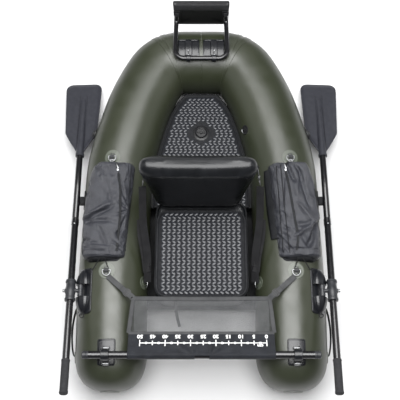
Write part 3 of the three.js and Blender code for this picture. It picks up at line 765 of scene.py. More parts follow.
def seat_back():
    shares = [0.5 - 0.5 * math.cos(math.pi * k / 24) for k in range(25)]
    shape = loft([back_ring(t, 0.005) for t in shares])
    made = piece("back_cushion", [shape], seat_look, "backrest", "seat_fabric", "backrest")
    inflate(made, 0.006, 4.0, 0.006, 16)
    seam = []
    for t in np.linspace(0.02, 0.98, 40):
        z = 0.004 + (BACK_TALL - 0.008) * t
        seam.append((max(p.x for p in back_ring(t, -0.0005)), z))
    loop = [(x, z) for x, z in seam] + [(-x, z) for x, z in reversed(seam)]
    path = [back_frame @ Vector((x, BACK_THICK / 2, z)) for x, z in even(loop, 0.008, 3)]
    weld = sweep(path, circle(0.0012, 6), up=(0, 0.3, 1), loop=True)
    front = [(x * 0.86, 0.02 + (z - 0.02) * 0.9) for x, z in loop]
    face = [back_frame @ Vector((x, 0.0012, z)) for x, z in even(front, 0.01, 4)]
    line_seam = sweep(face, circle(0.0011, 6), up=(0, 1, 0), loop=True)
    piece("back_seams", [weld, line_seam], seat_look, "backrest", "seat_fabric")


seat_back()

# ---------------------------------------------------------------- webbing, rings and patches

KEEPER_WEB = 0.020  # widths of the webbing
HANDLE_WEB = 0.030
APRON_WEB = 0.023
BACK_TAB_WEB = 0.022


def stitches(path, width, up=(0, 0, 1), pitch=0.006):
    """Two rows of small threads along a webbing's edges."""
    shapes = []
    total = sum((b - a).length for a, b in zip(path, path[1:]))
    count = max(2, int(total / pitch))
    walked = np.concatenate([[0], np.cumsum([(b - a).length for a, b in zip(path, path[1:])])])
    for k in range(count):
        s = (k + 0.5) / count * total
        i = int(np.clip(np.searchsorted(walked, s), 1, len(path) - 1))
        ahead = (path[i] - path[i - 1]).normalized()
        p = path[i - 1] + ahead * (s - walked[i - 1])
        side = ahead.cross(Vector(up)).normalized()
        over = side.cross(ahead)
        for sign in (-1, 1):
            centre = p + side * (sign * (width / 2 - 0.0025)) + over * 0.0011
            ends = [centre - ahead * pitch * 0.3, centre + over * 0.0003, centre + ahead * pitch * 0.3]
            shapes.append(sweep(ends, circle(0.0005, 5), up=up))
    return shapes


def d_loop(centre, r, straight, wire, plane=Matrix()):
    """A D-shaped ring: its straight bar passes through centre, the bow lies toward -Y."""
    path = [Vector((r, 0, 0)), Vector((r, -straight / 2, 0))]
    path += arc((0, -straight, 0), r, 0, -180, 18)
    path += [Vector((-r, -straight / 2, 0)), Vector((-r, 0, 0))]
    path += [Vector((x, 0, 0)) for x in np.linspace(-r * 0.8, r * 0.8, 6)]
    place = Matrix.Translation(centre) @ plane
    return sweep([place @ p for p in path], circle(wire, 10), up=(0, 0, 1), loop=True)


def round_patch(s, angle, r, thick=0.0022):
    """A welded disc with a raised rim, and a smaller disc under the keeper."""
    steps = 48
    ring = np.array([(r * math.cos(a), r * math.sin(a)) for a in np.linspace(0, 2 * math.pi, steps, False)])
    place = on_skin(s, angle)
    disc = [
        (0, -0.001),
        (0.0004, thick),
        (0.003, thick + 0.0006),
        (0.006, thick),
        (0.010, thick - 0.0006),
    ]
    inner = [(0, thick - 0.001), (0.0006, thick + 0.0012), (0.003, thick + 0.0014)]
    return [mound(ring, disc, place), mound(ring * 0.52, inner, place)]


def keeper(s, angle, lift):
    """The webbing loop that holds the ring's bar, welded down on both sides of it."""
    place = on_skin(s, angle)
    path = [place(x, 0, h) for x, h in (
        (-0.016, 0.003), (-0.009, 0.0034), (-0.005, lift + 0.001), (0, lift + 0.0042),
        (0.005, lift + 0.001), (0.009, 0.0034), (0.016, 0.003))]
    up = place(0, 0, 1) - place(0, 0, 0)
    return sweep(spline(path, 4), strip(KEEPER_WEB, 0.0014), up=up)


def lashing_rings():
    for end in ("front", "rear"):
        joint = joints[f"right_{end}_ring_swing"]
        centre = Vector(joint["pos_m"])
        s, angle = spot(centre.x, centre.y)
        lift = centre.z - skin(s, angle).z
        patch = round_patch(s, angle, 0.035)
        both("{side}_" + end + "_patch", patch, patch_look, "hull", "patch_fabric",
             "{side}_" + end + "_ring_patch")
        both("{side}_" + end + "_keeper", [keeper(s, angle, lift)], webbing_look, "hull",
             "grey_webbing")
        both("{side}_" + end + "_ring", [d_loop(centre, 0.016, 0.008, 0.0022)], steel_look,
             "{side}_" + end + "_ring", "steel", "{side}_" + end + "_d_ring")


lashing_rings()


def carry_handles():
    low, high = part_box("right_carry_handle")
    y0, y1, z = low.y, high.y, (low.z + high.z) / 2
    root = TUBE_R + on_line(spot(0.38, (y0 + y1) / 2)[0])[0].x
    path = []
    for k in range(25):
        t = k / 24
        bow = (1 - (2 * t - 1) ** 2) ** 0.75
        path.append(Vector((root + 0.5 * (high.x - root) * bow, y0 + (y1 - y0) * t, z)))
    web = sweep(path, strip(HANDLE_WEB, 0.0028), up=(1, 0, 0))
    shapes = [web, *stitches(path, HANDLE_WEB, up=(1, 0, 0), pitch=0.008)]
    both("{side}_handle_webbing", shapes, strap_look, "hull", "black_webbing",
         "{side}_carry_handle")
    pads = []
    for y in (y0 - 0.004, y1 + 0.004):
        s = spot(root - TUBE_R, y)[0]
        profile = [(0, -0.001), (0.0004, 0.0016), (0.002, 0.0024), (0.004, 0.0018)]
        pads.append(mound(rounded(0.024, 0.027, 0.006), profile, on_skin(s, 3)))
    both("{side}_handle_pads", pads, patch_look, "hull", "patch_fabric")


carry_handles()


def valve_shapes(matrix, flange, well, cap_r):
    """A flange with a recess, and a cap with a wing grip."""
    seat_profile = [
        (flange, -0.002), (flange, 0.002), (flange - 0.003, 0.0044), (well + 0.004, 0.0050),
        (well + 0.002, 0.0062), (well, 0.0050), (well - 0.001, 0.002), (0.002, 0.002)]
    cap_profile = [
        (cap_r, 0.003), (cap_r, 0.0075), (cap_r - 0.002, 0.0095), (cap_r - 0.006, 0.0095),
        (cap_r - 0.007, 0.0078), (0.002, 0.0078)]
    ribs = []
    for k in range(24):
        turn = Matrix.Rotation(2 * math.pi * k / 24, 4, "Z")
        ribs.append(block((0.002, 0.0026, 0.0042), matrix @ turn @ at(cap_r, 0, 0.0055), 0.0006, 1))
    wing = [block((cap_r * 1.5, 0.005, 0.0075), matrix @ at(0, 0, 0.0115), 0.0018, 3),
            lathe([(0.007, 0.007), (0.007, 0.012), (0.005, 0.0138), (0.001, 0.014)], matrix, 20)]
    return [lathe(seat_profile, matrix, 48)], [lathe(cap_profile, matrix, 48), *ribs, *wing]


def valves():
    base = at(valve_at.x, valve_at.y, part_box("deck_pad")[0].z + 0.001)
    flange, cap = valve_shapes(base, VALVE_R, 0.0268, 0.0240)
    piece("deck_valve_flange", flange, black_look, "hull", "valve_plastic", "deck_valve")
    piece("deck_valve_cap_top", cap, black_look, "deck_valve_cap", "valve_plastic", "deck_valve_cap")
    pivot = Vector(joints["right_valve_cap_turn"]["pos_m"])
    i = min(range(len(line)), key=lambda k: abs((line[k] - Vector((pivot.x, pivot.y, 0))).length - TUBE_R))
    out = Vector(joints["right_valve_cap_turn"]["axis"]).normalized()
    foot = Vector((pivot.x, pivot.y, TUBE_R)) - out * (Vector((pivot.x, pivot.y, 0)) - line[i]).length
    turn = out.to_track_quat("Z", "Y").to_matrix().to_4x4()
    side_base = Matrix.Translation(foot + out * (TUBE_R + 0.0012)) @ turn
    flange, cap = valve_shapes(side_base, 0.031, 0.0205, 0.0185)
    cap = [moved(shape, Matrix.Translation(out * 0.004)) for shape in cap]
    both("{side}_valve_flange", flange, black_look, "hull", "valve_plastic", "{side}_main_valve")
    both("{side}_valve_cap_top", cap, black_look, "{side}_valve_cap", "valve_plastic",
         "{side}_main_valve_cap")


valves()

# ---------------------------------------------------------------- foot bar and apron

bar_low, bar_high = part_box("foot_bar")
BAR = (bar_low + bar_high) / 2
BAR_R = (bar_high.z - bar_low.z) / 2
net_low, net_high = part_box("apron_net")
sleeve_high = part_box("apron_sleeve")[1]
SEAM_Y = net_low.y
NET_Z = (net_low.z + net_high.z) / 2
NOTCH = (-0.026, 0.032)


def along_x(x):
    """A frame on the bar whose Z axis points along +X."""
    return at(x, BAR.y, BAR.z, 0, 90)


def foot_bar():
    half = bar_high.x
    tube = [(BAR_R - 0.0002, -half + 0.022), (BAR_R - 0.0002, half - 0.022)]
    piece("bar_tube", [lathe(tube, along_x(0), 48)], tube_look, "hull", "black_tube", "foot_bar")
    plug = [
        (BAR_R - 0.002, half - 0.026), (BAR_R, half - 0.0255), (BAR_R, half - 0.019),
        (BAR_R - 0.0014, half - 0.018), (BAR_R - 0.0014, half - 0.016), (BAR_R, half - 0.015),
        (BAR_R, half - 0.003), (BAR_R - 0.003, half), (0.005, half), (0.004, half - 0.002),
        (0.001, half - 0.002),
    ]
    both("{side}_bar_plug", [lathe(plug, along_x(0), 40)], grey_look, "hull", "grey_plastic")


def bar_mounts():
    low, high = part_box("right_bar_mount")
    x, y = (low.x + high.x) / 2, (low.y + high.y) / 2
    s, angle = spot(x, y)
    place = on_skin(s, angle)
    profile = [(0, -0.001), (0.0005, 0.004), (0.003, 0.0052), (0.0055, 0.0052), (0.0068, 0.0034),
               (0.012, 0.0034)]
    shapes = [mound(rounded(0.0525, 0.036, 0.008), profile, place)]
    dy = BAR.y - y
    ring = [(BAR_R + 0.0004, -0.016), (BAR_R + 0.0055, -0.016), (BAR_R + 0.0068, -0.0145),
            (BAR_R + 0.0068, 0.0145), (BAR_R + 0.0055, 0.016), (BAR_R + 0.0004, 0.016)]
    rings = [[along_x(x) @ Vector((px, py, h)) for px, py in circle(r, 40)] for r, h in ring]
    shapes.append(loft(rings, loop=True))
    top = skin(s, angle).z
    shapes.append(block((0.030, 0.030, BAR.z - BAR_R - top + 0.006),
                        at(x, BAR.y, (BAR.z - BAR_R + top) / 2 + 0.001), 0.004, 3))
    for toward in (-1, 1):
        tongue_y = dy + toward * 0.030
        shapes.append(block((0.026, 0.018, 0.006), at(x, y + tongue_y, top + 0.0065), 0.002, 2))
    both("{side}_bar_saddle", shapes, rubber_look, "hull", "pad_rubber", "{side}_bar_mount")
    pins = []
    for toward in (-1, 1):
        yy = BAR.y + toward * 0.030
        shank = [(0.0034, -0.013), (0.0034, 0.013)]
        pins.append(lathe(shank, at(x, yy, top + 0.0115, 0, 90), 16))
        for end in (-1, 1):
            head = [(0.0055, -0.002), (0.0055, 0.001), (0.004, 0.002)]
            pins.append(lathe(head, at(x + end * 0.013, yy, top + 0.0115, 0, 90), 6))
    both("{side}_bar_clips", pins, steel_look, "hull", "steel")


def folds(x, y):
    """The sleeve's slack: folds that fan out from the notch's corners towards the seam."""
    depth = 0.0
    for corner, lean, reach in ((NOTCH[0], -1, 0.13), (NOTCH[1], 1, 0.12)):
        dx, dy = (x - corner) * lean, y - (BAR.y - 0.01)
        far = math.hypot(dx, dy)
        if dx > -0.01 and far > 1e-6:
            turn = math.atan2(dy, dx)
            wave = math.cos(turn * 11 + 0.8 * lean) * max(0, 1 - far / reach) * min(1, far / 0.02)
            depth += 0.0032 * wave
    depth += 0.0011 * noise.noise(Vector((x * 14, y * 30, 2.0)))
    depth += 0.0007 * noise.noise(Vector((x * 45, y * 60, 5.0)))
    return depth


def apron_top(x, y):
    """The height of the sleeve's upper layer."""
    tangent_y = BAR.y
    t = (y - tangent_y) / (SEAM_Y - tangent_y)
    if t < 0:
        return BAR.z + math.sqrt(max((BAR_R + 0.0016) ** 2 - (y - tangent_y) ** 2, 0))
    high = BAR.z + BAR_R + 0.0016
    return high + (NET_Z + 0.001 - high) * t + folds(x, y) * math.sin(math.pi * min(1, t)) ** 0.5


def apron_sleeve():
    half = sleeve_high.x
    columns = 150
    r = BAR_R + 0.0016
    rows = []
    for y in np.linspace(SEAM_Y, BAR.y, 26):
        rows.append(("low", y))
    for k in range(1, 17):
        rows.append(("round", -90 - 180 * k / 17))
    for y in np.linspace(BAR.y, SEAM_Y, 26):
        rows.append(("high", y))
    points, faces = [], []
    for kind, value in rows:
        for c in range(columns + 1):
            x = -half + 2 * half * c / columns
            if kind == "round":
                a = math.radians(value)
                y, z = BAR.y + r * math.cos(a), BAR.z + r * math.sin(a)
            elif kind == "high":
                y, z = value, apron_top(x, value)
            else:
                y = value
                t = (y - BAR.y) / (SEAM_Y - BAR.y)
                z = BAR.z - r + (NET_Z - 0.001 - BAR.z + r) * t + 0.5 * folds(x + 0.01, y) * (1 - t) * t
            points.append(Vector((x, y, z)))
    for i, k in ((i, k) for i in range(len(rows) - 1) for k in range(columns)):
        corners = [i * (columns + 1) + k, i * (columns + 1) + k + 1]
        corners += [corners[1] + columns + 1, corners[0] + columns + 1]
        middle = sum((points[n] for n in corners), Vector()) / 4
        if not (NOTCH[0] < middle.x < NOTCH[1] and middle.y < BAR.y - 0.006):
            faces.append(tuple(corners))
    used = sorted({n for face in faces for n in face})
    renamed = {n: i for i, n in enumerate(used)}
    shape = [points[n] for n in used], [tuple(renamed[n] for n in face) for face in faces]
    made = piece("apron_front", [shape], sleeve_look, "hull", "apron_nylon", "apron_sleeve", sharp=60)
    wall = made.modifiers.new("wall", "SOLIDIFY")
    wall.thickness = 0.0007


def ruler_mark(x0, x1, y0, y1):
    """A printed bar on the sleeve."""
    columns = max(1, int((x1 - x0) / 0.004))
    rows = max(1, int((y1 - y0) / 0.003))
    points = []
    for lift in (-0.0002, 0.0011):
        for r in range(rows + 1):
            for c in range(columns + 1):
                x, y = x0 + (x1 - x0) * c / columns, y0 + (y1 - y0) * r / rows
                points.append(Vector((x, y, apron_top(x, y) + lift)))
    count = (rows + 1) * (columns + 1)
    top = grid_faces(rows + 1, columns + 1, loop_columns=False)
    faces = [tuple(n + count for n in face) for face in top]
    edge = [*range(columns + 1)]
    edge += [r * (columns + 1) + columns for r in range(1, rows + 1)]
    edge += [rows * (columns + 1) + c for c in range(columns - 1, -1, -1)]
    edge += [r * (columns + 1) for r in range(rows - 1, 0, -1)]
    for a, b in zip(edge, edge[1:] + edge[:1]):
        faces.append((a, b, b + count, a + count))
    return points, faces


def figure(words, x, y, size):
    """Numerals that read from the boat's seat, laid on the sleeve."""
    data = bpy.data.curves.new("figure", "FONT")
    data.body = words
    data.size = size
    data.align_x = "CENTER"
    data.offset = 0.0005
    data.extrude = 0.0005
    text = bpy.data.objects.new("figure", data)
    scene.collection.objects.link(text)
    bpy.context.view_layer.update()
    mesh = bpy.data.meshes.new_from_object(text.evaluated_get(bpy.context.evaluated_depsgraph_get()))
    points = []
    for v in mesh.vertices:
        px, py = x - v.co.x * 1.15, y - v.co.y
        points.append(Vector((px, py, apron_top(px, py) + 0.0008 + v.co.z)))
    faces = [tuple(f.vertices) for f in mesh.polygons]
    bpy.data.objects.remove(text)
    return points, faces


def ruler():
    """50 cm along the sleeve, with a figure at every fifth centimetre."""
    y = SEAM_Y - 0.042
    start = 0.257
    shapes = [ruler_mark(start - 0.5, start, y - 0.0014, y + 0.0014)]
    for cm in range(0, 51, 5):
        x = start - cm / 100
        tall = 0.013 if cm % 10 == 0 else 0.009
        shapes.append(ruler_mark(x - 0.0016, x + 0.0016, y - tall, y + tall))
        shapes.append(figure(str(cm), x, y + 0.033, 0.020))
        if cm < 50:
            shapes.append(ruler_mark(x - 0.0285, x - 0.0215, y - 0.0042, y + 0.0042))
    shapes.append(figure("cm", start - 0.026, y - 0.006, 0.017))
    piece("ruler", shapes, mark_look, "hull", "apron_nylon", sharp=60)


def apron_net():
    low, high = net_low, net_high
    tall = high.y - low.y

    def half(y):
        return high.x + (0.274 - high.x) * (y - low.y) / tall

    def sag(x, y):
        u, v = x / high.x, (y - low.y) / tall
        return NET_Z - 0.006 * (1 - u * u) * math.sin(math.pi * v)

    shapes = []
    pitch = 0.0032
    thread = [(0.00055, 0), (0, 0.00045), (-0.00055, 0), (0, -0.00045)]
    for y in np.arange(low.y + 0.004, high.y - 0.004, pitch):
        xs = np.linspace(-half(y) + 0.004, half(y) - 0.004, 19)
        shapes.append(sweep([Vector((x, y, sag(x, y))) for x in xs], thread))
    for x in np.arange(-half(high.y) + 0.006, half(high.y) - 0.004, pitch):
        ys = np.linspace(low.y, high.y - 0.003, 9)
        shapes.append(sweep([Vector((x, y, sag(x, y) + 0.0003)) for y in ys], thread))
    made = piece("net", shapes, net_look, "hull", "apron_net", "apron_net", sharp=90)
    cut_area = tall * (half(low.y) + half(high.y))
    rear = [(-half(low.y), low.y), (-half(high.y) - 0.001, high.y - 0.010),
            (-half(high.y) + 0.012, high.y - 0.005), (0, high.y - 0.007),
            (half(high.y) - 0.012, high.y - 0.005), (half(high.y) + 0.001, high.y - 0.010),
            (half(low.y), low.y)]
    path = spline([Vector((x, y, sag(x, y) + 0.001)) for x, y in rear], 10)
    hem = [sweep(path, strip(0.017, 0.0022)), *stitches(path, 0.017)]
    front = [
        Vector((x, low.y - 0.001, NET_Z + 0.0025 + 0.4 * folds(x, low.y)))
        for x in np.linspace(-high.x, high.x, 60)
    ]
    hem.append(sweep(front, strip(0.012, 0.0018)))
    piece("net_hem", hem, webbing_look, "hull", "grey_webbing")
    loose = [Vector((-0.106, high.y - 0.008, NET_Z - 0.003)), Vector((-0.105, high.y - 0.03, NET_Z - 0.016)),
             Vector((-0.099, high.y - 0.07, NET_Z - 0.024)), Vector((-0.088, high.y - 0.115, NET_Z - 0.026))]
    piece("net_loose_end", [sweep(spline(loose, 8), strip(0.012, 0.0016))], webbing_look, "hull",
          "grey_webbing")


def apron_straps():
    """Webbing from the net's rear corners to the front rings, with an adjuster and a stitched fold."""
    ring = Vector(joints["right_front_ring_swing"]["pos_m"])
    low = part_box("right_apron_strap")[0]
    start = Vector((low.x + 0.010, low.y + 0.002, NET_Z + 0.001))
    end = Vector((ring.x - 0.007, ring.y - 0.027, ring.z + 0.0015))
    middle = start.lerp(end, 0.5) + Vector((0, 0, -0.004))
    path = spline([start, start.lerp(middle, 0.5), middle, middle.lerp(end, 0.6), end], 8)
    web = sweep(path, strip(APRON_WEB, 0.0018))
    fold_path = [p + Vector((0, 0, 0.0022)) for p in path[-18:-2]]
    fold = sweep(fold_path, strip(APRON_WEB, 0.0016))
    shapes = [web, fold, *stitches(fold_path[2:], APRON_WEB, pitch=0.004)]
    both("{side}_apron_web", shapes, webbing_look, "hull", "grey_webbing", "{side}_apron_strap")
    i = 8
    ahead = (path[i + 1] - path[i]).normalized()
    turn = Matrix.Rotation(math.atan2(ahead.y, ahead.x), 4, "Z")
    place = Matrix.Translation(path[i] + Vector((0, 0, 0.002))) @ turn
    bars = [block((0.0035, 0.030, 0.0035), place @ at(dx, 0, 0), 0.001) for dx in (-0.008, 0, 0.008)]
    bars += [block((0.020, 0.003, 0.0035), place @ at(0, dy, 0), 0.001) for dy in (-0.0145, 0.0145)]
    both("{side}_apron_slide", bars, black_look, "hull", "valve_plastic")


foot_bar()
bar_mounts()
apron_sleeve()
ruler()
apron_net()
apron_straps()

# ---------------------------------------------------------------- oars and their locks

pivot_joint = joints["right_oar_pivot"]
OAR_AT = Vector(pivot_joint["pos_m"])
press = Vector(joints["right_snap_button_press"]["axis"]).normalized()
oar_up = -press
oar_out = Vector((oar_up.y, -oar_up.x, 0)).normalized()
oar_back = oar_up.cross(oar_out).normalized()
oar_turn = Matrix((oar_out, oar_back, oar_up)).transposed().to_4x4()
OAR = Matrix.Translation(OAR_AT) @ oar_turn
ALONG_OAR = OAR @ Matrix.Rotation(math.radians(-90), 4, "X")

SHAFT_R = 0.0145
SHAFT_START = -0.422
SHAFT_JOINT = 0.345
BLADE_NECK = 0.711
BLADE_SHOULDER = 0.820
BLADE_TIP = 1.123
BLADE_ROOT_HALF = 0.076
BLADE_TIP_HALF = 0.088
BLADE_THICK = 0.007


def turned(profile, steps=36):
    """A profile of (radius, place along the oar) turned about the oar's own line."""
    return lathe(profile, ALONG_OAR, steps)


def oar_shafts():
    front = [(SHAFT_R - 0.001, SHAFT_START), (SHAFT_R, SHAFT_START + 0.001),
             (SHAFT_R, SHAFT_JOINT - 0.032), (SHAFT_R + 0.0016, SHAFT_JOINT - 0.031),
             (SHAFT_R + 0.0016, SHAFT_JOINT - 0.002), (SHAFT_R + 0.0006, SHAFT_JOINT)]
    both("{side}_front_tube", [turned(front)], tube_look, "{side}_oar", "black_tube",
         "{side}_oar_front_shaft")
    rear = [(SHAFT_R - 0.001, SHAFT_JOINT + 0.0006), (SHAFT_R, SHAFT_JOINT + 0.002),
            (SHAFT_R, BLADE_NECK + 0.03)]
    both("{side}_rear_tube", [turned(rear)], tube_look, "{side}_oar", "black_tube",
         "{side}_oar_rear_shaft")
    button = [(0.0038, SHAFT_R - 0.004), (0.0038, SHAFT_R + 0.0012), (0.0028, SHAFT_R + 0.0022),
              (0.0006, SHAFT_R + 0.0026)]
    both("{side}_button", [lathe(button, OAR @ Matrix.Translation((0, SHAFT_JOINT - 0.030, 0)), 20)],
         steel_look, "{side}_snap_button", "steel", "{side}_oar_snap_button")
    grip = [(0.0146, -0.292), (0.0170, -0.294), (0.0176, -0.298)]
    for k in range(21):
        y = -0.302 - 0.0055 * k
        grip += [(0.0164, y), (0.0155, y - 0.0018), (0.0164, y - 0.0036)]
    grip += [(0.0172, -0.421), (0.0172, -0.426), (0.0140, -0.4298), (0.004, -0.4302)]
    both("{side}_grip_foam", [turned(grip, 32)], grip_look, "{side}_oar", "grip_foam",
         "{side}_oar_grip")
    sleeve = [(0.0150, -0.046), (0.0212, -0.0455), (0.0222, -0.042), (0.0222, -0.036),
              (0.0195, -0.034), (0.0195, -0.016), (0.0205, -0.014), (0.0205, 0.014),
              (0.0195, 0.016), (0.0195, 0.034), (0.0222, 0.036), (0.0222, 0.042),
              (0.0212, 0.0455), (0.0150, 0.046)]
    boss = [(0.0095, -0.022), (0.0095, 0.022), (0.0080, 0.0235), (0.0045, 0.0235)]
    shapes = [turned(sleeve), lathe(boss, OAR @ Matrix.Rotation(math.radians(90), 4, "Y"), 24)]
    both("{side}_sleeve_body", shapes, grey_look, "{side}_oar", "grey_plastic", "{side}_oar_sleeve")


def blade_outline():
    """The right half and then the left half of the blade, from the neck to the tip."""
    corner = 0.034
    half = [(0.017, BLADE_NECK - 0.018), (0.0178, BLADE_NECK)]
    for k in range(7):
        t = k / 6
        x = 0.0178 + (BLADE_ROOT_HALF - 0.0178) * t
        y = BLADE_NECK + (BLADE_SHOULDER - BLADE_NECK) * t
        half.append((x + 0.002 * math.sin(math.pi * t), y))
    end_x, end_y = BLADE_TIP_HALF - corner, BLADE_TIP - corner
    for k in range(9):
        a = math.pi / 2 * k / 8
        half.append((end_x + corner * math.cos(a), end_y + corner * math.sin(a)))
    whole = half + [(-x, y) for x, y in reversed(half)]
    return even(whole, step=0.006, smooth=1)


def blades():
    outline = blade_outline()
    faces = []
    for over in (1, -1):
        place = lambda x, y, h: OAR @ Vector((x, y, over * h))
        thick = BLADE_THICK / 2
        profile = [(0, -0.0005), (0.0005, thick), (0.0025, thick + 0.0008), (0.0055, thick + 0.0006),
                   (0.0075, thick - 0.0012), (0.02, thick - 0.0014)]
        faces.append(mound(outline, profile, place, core=(0.85, 0.7, 0.5, 0.3, 0.1, 0.01)))
    rings = []
    for k in range(41):
        t = k / 40
        y = BLADE_NECK - 0.027 + t * 0.355
        wide = 0.0185 if t < 0.12 else 0.0185 + (0.0125 - 0.0185) * (t - 0.12) / 0.88
        high = 0.0180 * (1 - t) ** 0.75 + 0.0034
        if t > 0.93:
            high *= math.sqrt(max(1 - ((t - 0.93) / 0.07) ** 2, 0.02))
            wide *= math.sqrt(max(1 - ((t - 0.93) / 0.07) ** 2, 0.02)) * 0.5 + 0.5
        rings.append([OAR @ Vector((x, y, z)) for x, z in
                      [(wide * math.cos(a), high * math.sin(a) if abs(math.sin(a)) < 1 else high)
                       for a in [2 * math.pi * i / 28 for i in range(28)]]])
    spine = loft(rings)
    sides = []
    for sign in (-1, 1):
        path = [OAR @ Vector((sign * (0.0195 - 0.003 * t), BLADE_NECK + 0.02 + 0.32 * t, 0.0032))
                for t in np.linspace(0, 1, 20)]
        sides.append(sweep(path, circle(0.0016, 8), up=oar_up))
    collar = turned([(0.0190, BLADE_NECK - 0.029), (0.0200, BLADE_NECK - 0.027),
                     (0.0200, BLADE_NECK - 0.016), (0.0186, BLADE_NECK - 0.014),
                     (0.0186, BLADE_NECK + 0.004)], 32)
    both("{side}_blade_face", [*faces, spine, *sides, collar], blade_look, "{side}_oar",
         "blade_plastic", "{side}_oar_blade", sharp=50)
    holes = []
    for y, r in ((BLADE_NECK + 0.048, 0.0042), (BLADE_NECK + 0.245, 0.0050)):
        top = 0.0180 * (1 - (y - BLADE_NECK + 0.027) / 0.355) ** 0.75 + 0.0034
        place = OAR @ Matrix.Translation((0, y, top - 0.0006))
        holes.append(lathe([(r, -0.002), (r, 0.0006), (r - 0.001, 0.0009), (r - 0.0016, 0.0002)], place, 20))
    both("{side}_blade_plugs", holes, black_look, "{side}_oar", "valve_plastic")


oar_shafts()
blades()

lock_joint = joints["right_oarlock_swivel"]
LOCK = Vector(lock_joint["pos_m"])
pad_low, pad_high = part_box("right_oarlock_pad")
LOCK_Y = (pad_low.y + pad_high.y) / 2


def lock_pads():
    """A welded base with two grooved domes; the grey block turns between them."""
    s0 = spot(on_line(0)[0].x + SKIN_R * math.cos(math.radians(45)), LOCK_Y)[0]
    place = on_skin(s0, 45)
    profile = [(0, -0.0008), (0.0006, 0.0036), (0.003, 0.0050), (0.008, 0.0050), (0.0095, 0.0038),
               (0.016, 0.0038)]
    base = mound(rounded(0.094, 0.045, 0.016), profile, place)
    shapes = [base]
    for end in (-1, 1):
        rings = []
        for k in range(15):
            u = math.sin(math.pi / 2 * k / 14)
            x = end * (0.0255 + 0.0665 * u)
            shrink = math.sqrt(max(1 - u * u, 0.0004))
            ring = []
            for i in range(33):
                a = math.pi * i / 32
                groove = 1 - 0.06 * max(0, math.cos(a * 9)) ** 6 * (0.3 + 0.7 * shrink)
                ring.append(place(x, 0.0375 * shrink * math.cos(a) * groove,
                                  0.002 + 0.0300 * shrink * math.sin(a) * groove))
            ring.append(place(x, -0.02 * shrink, -0.001))
            ring.append(place(x, 0.02 * shrink, -0.001))
            rings.append(ring)
        shapes.append(loft(rings if end > 0 else rings[::-1]))
    both("{side}_lock_domes", shapes, rubber_look, "hull", "pad_rubber", "{side}_oarlock_pad")
    along_y = Matrix.Translation(LOCK) @ Matrix.Rotation(math.radians(-90), 4, "X")
    barrel = [(0.0048, -0.038), (0.0048, -0.0242), (0.0105, -0.024), (0.0120, -0.0225), (0.0120, -0.006),
              (0.0106, -0.005), (0.0106, 0.005), (0.0120, 0.006), (0.0120, 0.0225), (0.0105, 0.024),
              (0.0048, 0.0242), (0.0048, 0.038)]
    toward_x = Matrix.Translation(LOCK) @ Matrix.Rotation(math.radians(90), 4, "Y")
    stub = [(0.0082, 0.004), (0.0082, 0.0185), (0.0070, 0.0200), (0.0042, 0.0200)]
    body = [lathe(barrel, along_y, 28), lathe(stub, toward_x, 24)]
    both("{side}_lock_barrel", body, grey_look, "{side}_oarlock", "grey_plastic",
         "{side}_oarlock_block")
    pin = [(0.0039, 0.0015), (0.0039, 0.0678), (0.0068, 0.0682), (0.0074, 0.0695), (0.0070, 0.0725),
           (0.0040, 0.0738), (0.0006, 0.0740)]
    both("{side}_lock_pin", [lathe(pin, toward_x, 24)], steel_look, "{side}_oarlock", "steel",
         "{side}_oarlock_pin")
    ears = []
    for end in (-1, 1):
        ear_at = at(LOCK.x - 0.006, LOCK.y + end * 0.031, LOCK.z - 0.004, 0, 45)
        ears.append(block((0.028, 0.010, 0.030), ear_at,
                          0.003, 3))
    both("{side}_lock_cheeks", ears, grey_look, "hull", "grey_plastic")
    loop = spline([place(-0.085, -0.004, 0.006), place(-0.098, 0.010, 0.012), place(-0.108, 0.0, 0.006),
                   place(-0.102, -0.014, 0.010), place(-0.085, -0.008, 0.007)], 6)
    both("{side}_lanyard", [sweep(loop, circle(0.0016, 8))], strap_look, "hull", "black_webbing")


lock_pads()


def carried_solids():
    """CAD solids whose shape is right keep it, with rounded edges and a material."""
    for side in SIDES:
        solid = frame["nodes"][f"{side}_oar_rest"]
        solid.data.materials.clear()
        solid.data.materials.append(dark_foam_and_gap_shade_look)
        edge = solid.modifiers.new("round", "BEVEL")
        edge.width = 0.0015
        edge.segments = 3


carried_solids()

# ---------------------------------------------------------------- motor bracket

board_low, board_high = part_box("motor_board")
frame_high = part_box("motor_frame")[1]
motor_hinge = Vector(joints["motor_bracket_fold"]["pos_m"])
MOTOR_TUBE_R = 0.011
MOTOR_BEND = 0.042


def bent(points, r):
    """A line through points whose corners are rounded to a radius r."""
    steps = 10
    p = [Vector(q) for q in points]
    path = [p[0]]
    for before, corner, after in zip(p, p[1:], p[2:]):
        a, b = (before - corner).normalized(), (after - corner).normalized()
        half = a.angle(b) / 2
        back = min(r / math.tan(half), 0.48 * min((before - corner).length, (after - corner).length))
        centre = corner + (a + b).normalized() * (back / math.cos(half))
        start, end = corner + a * back - centre, corner + b * back - centre
        for k in range(steps + 1):
            path.append(centre + start.lerp(end, k / steps).normalized() * start.length)
    return path + [p[-1]]


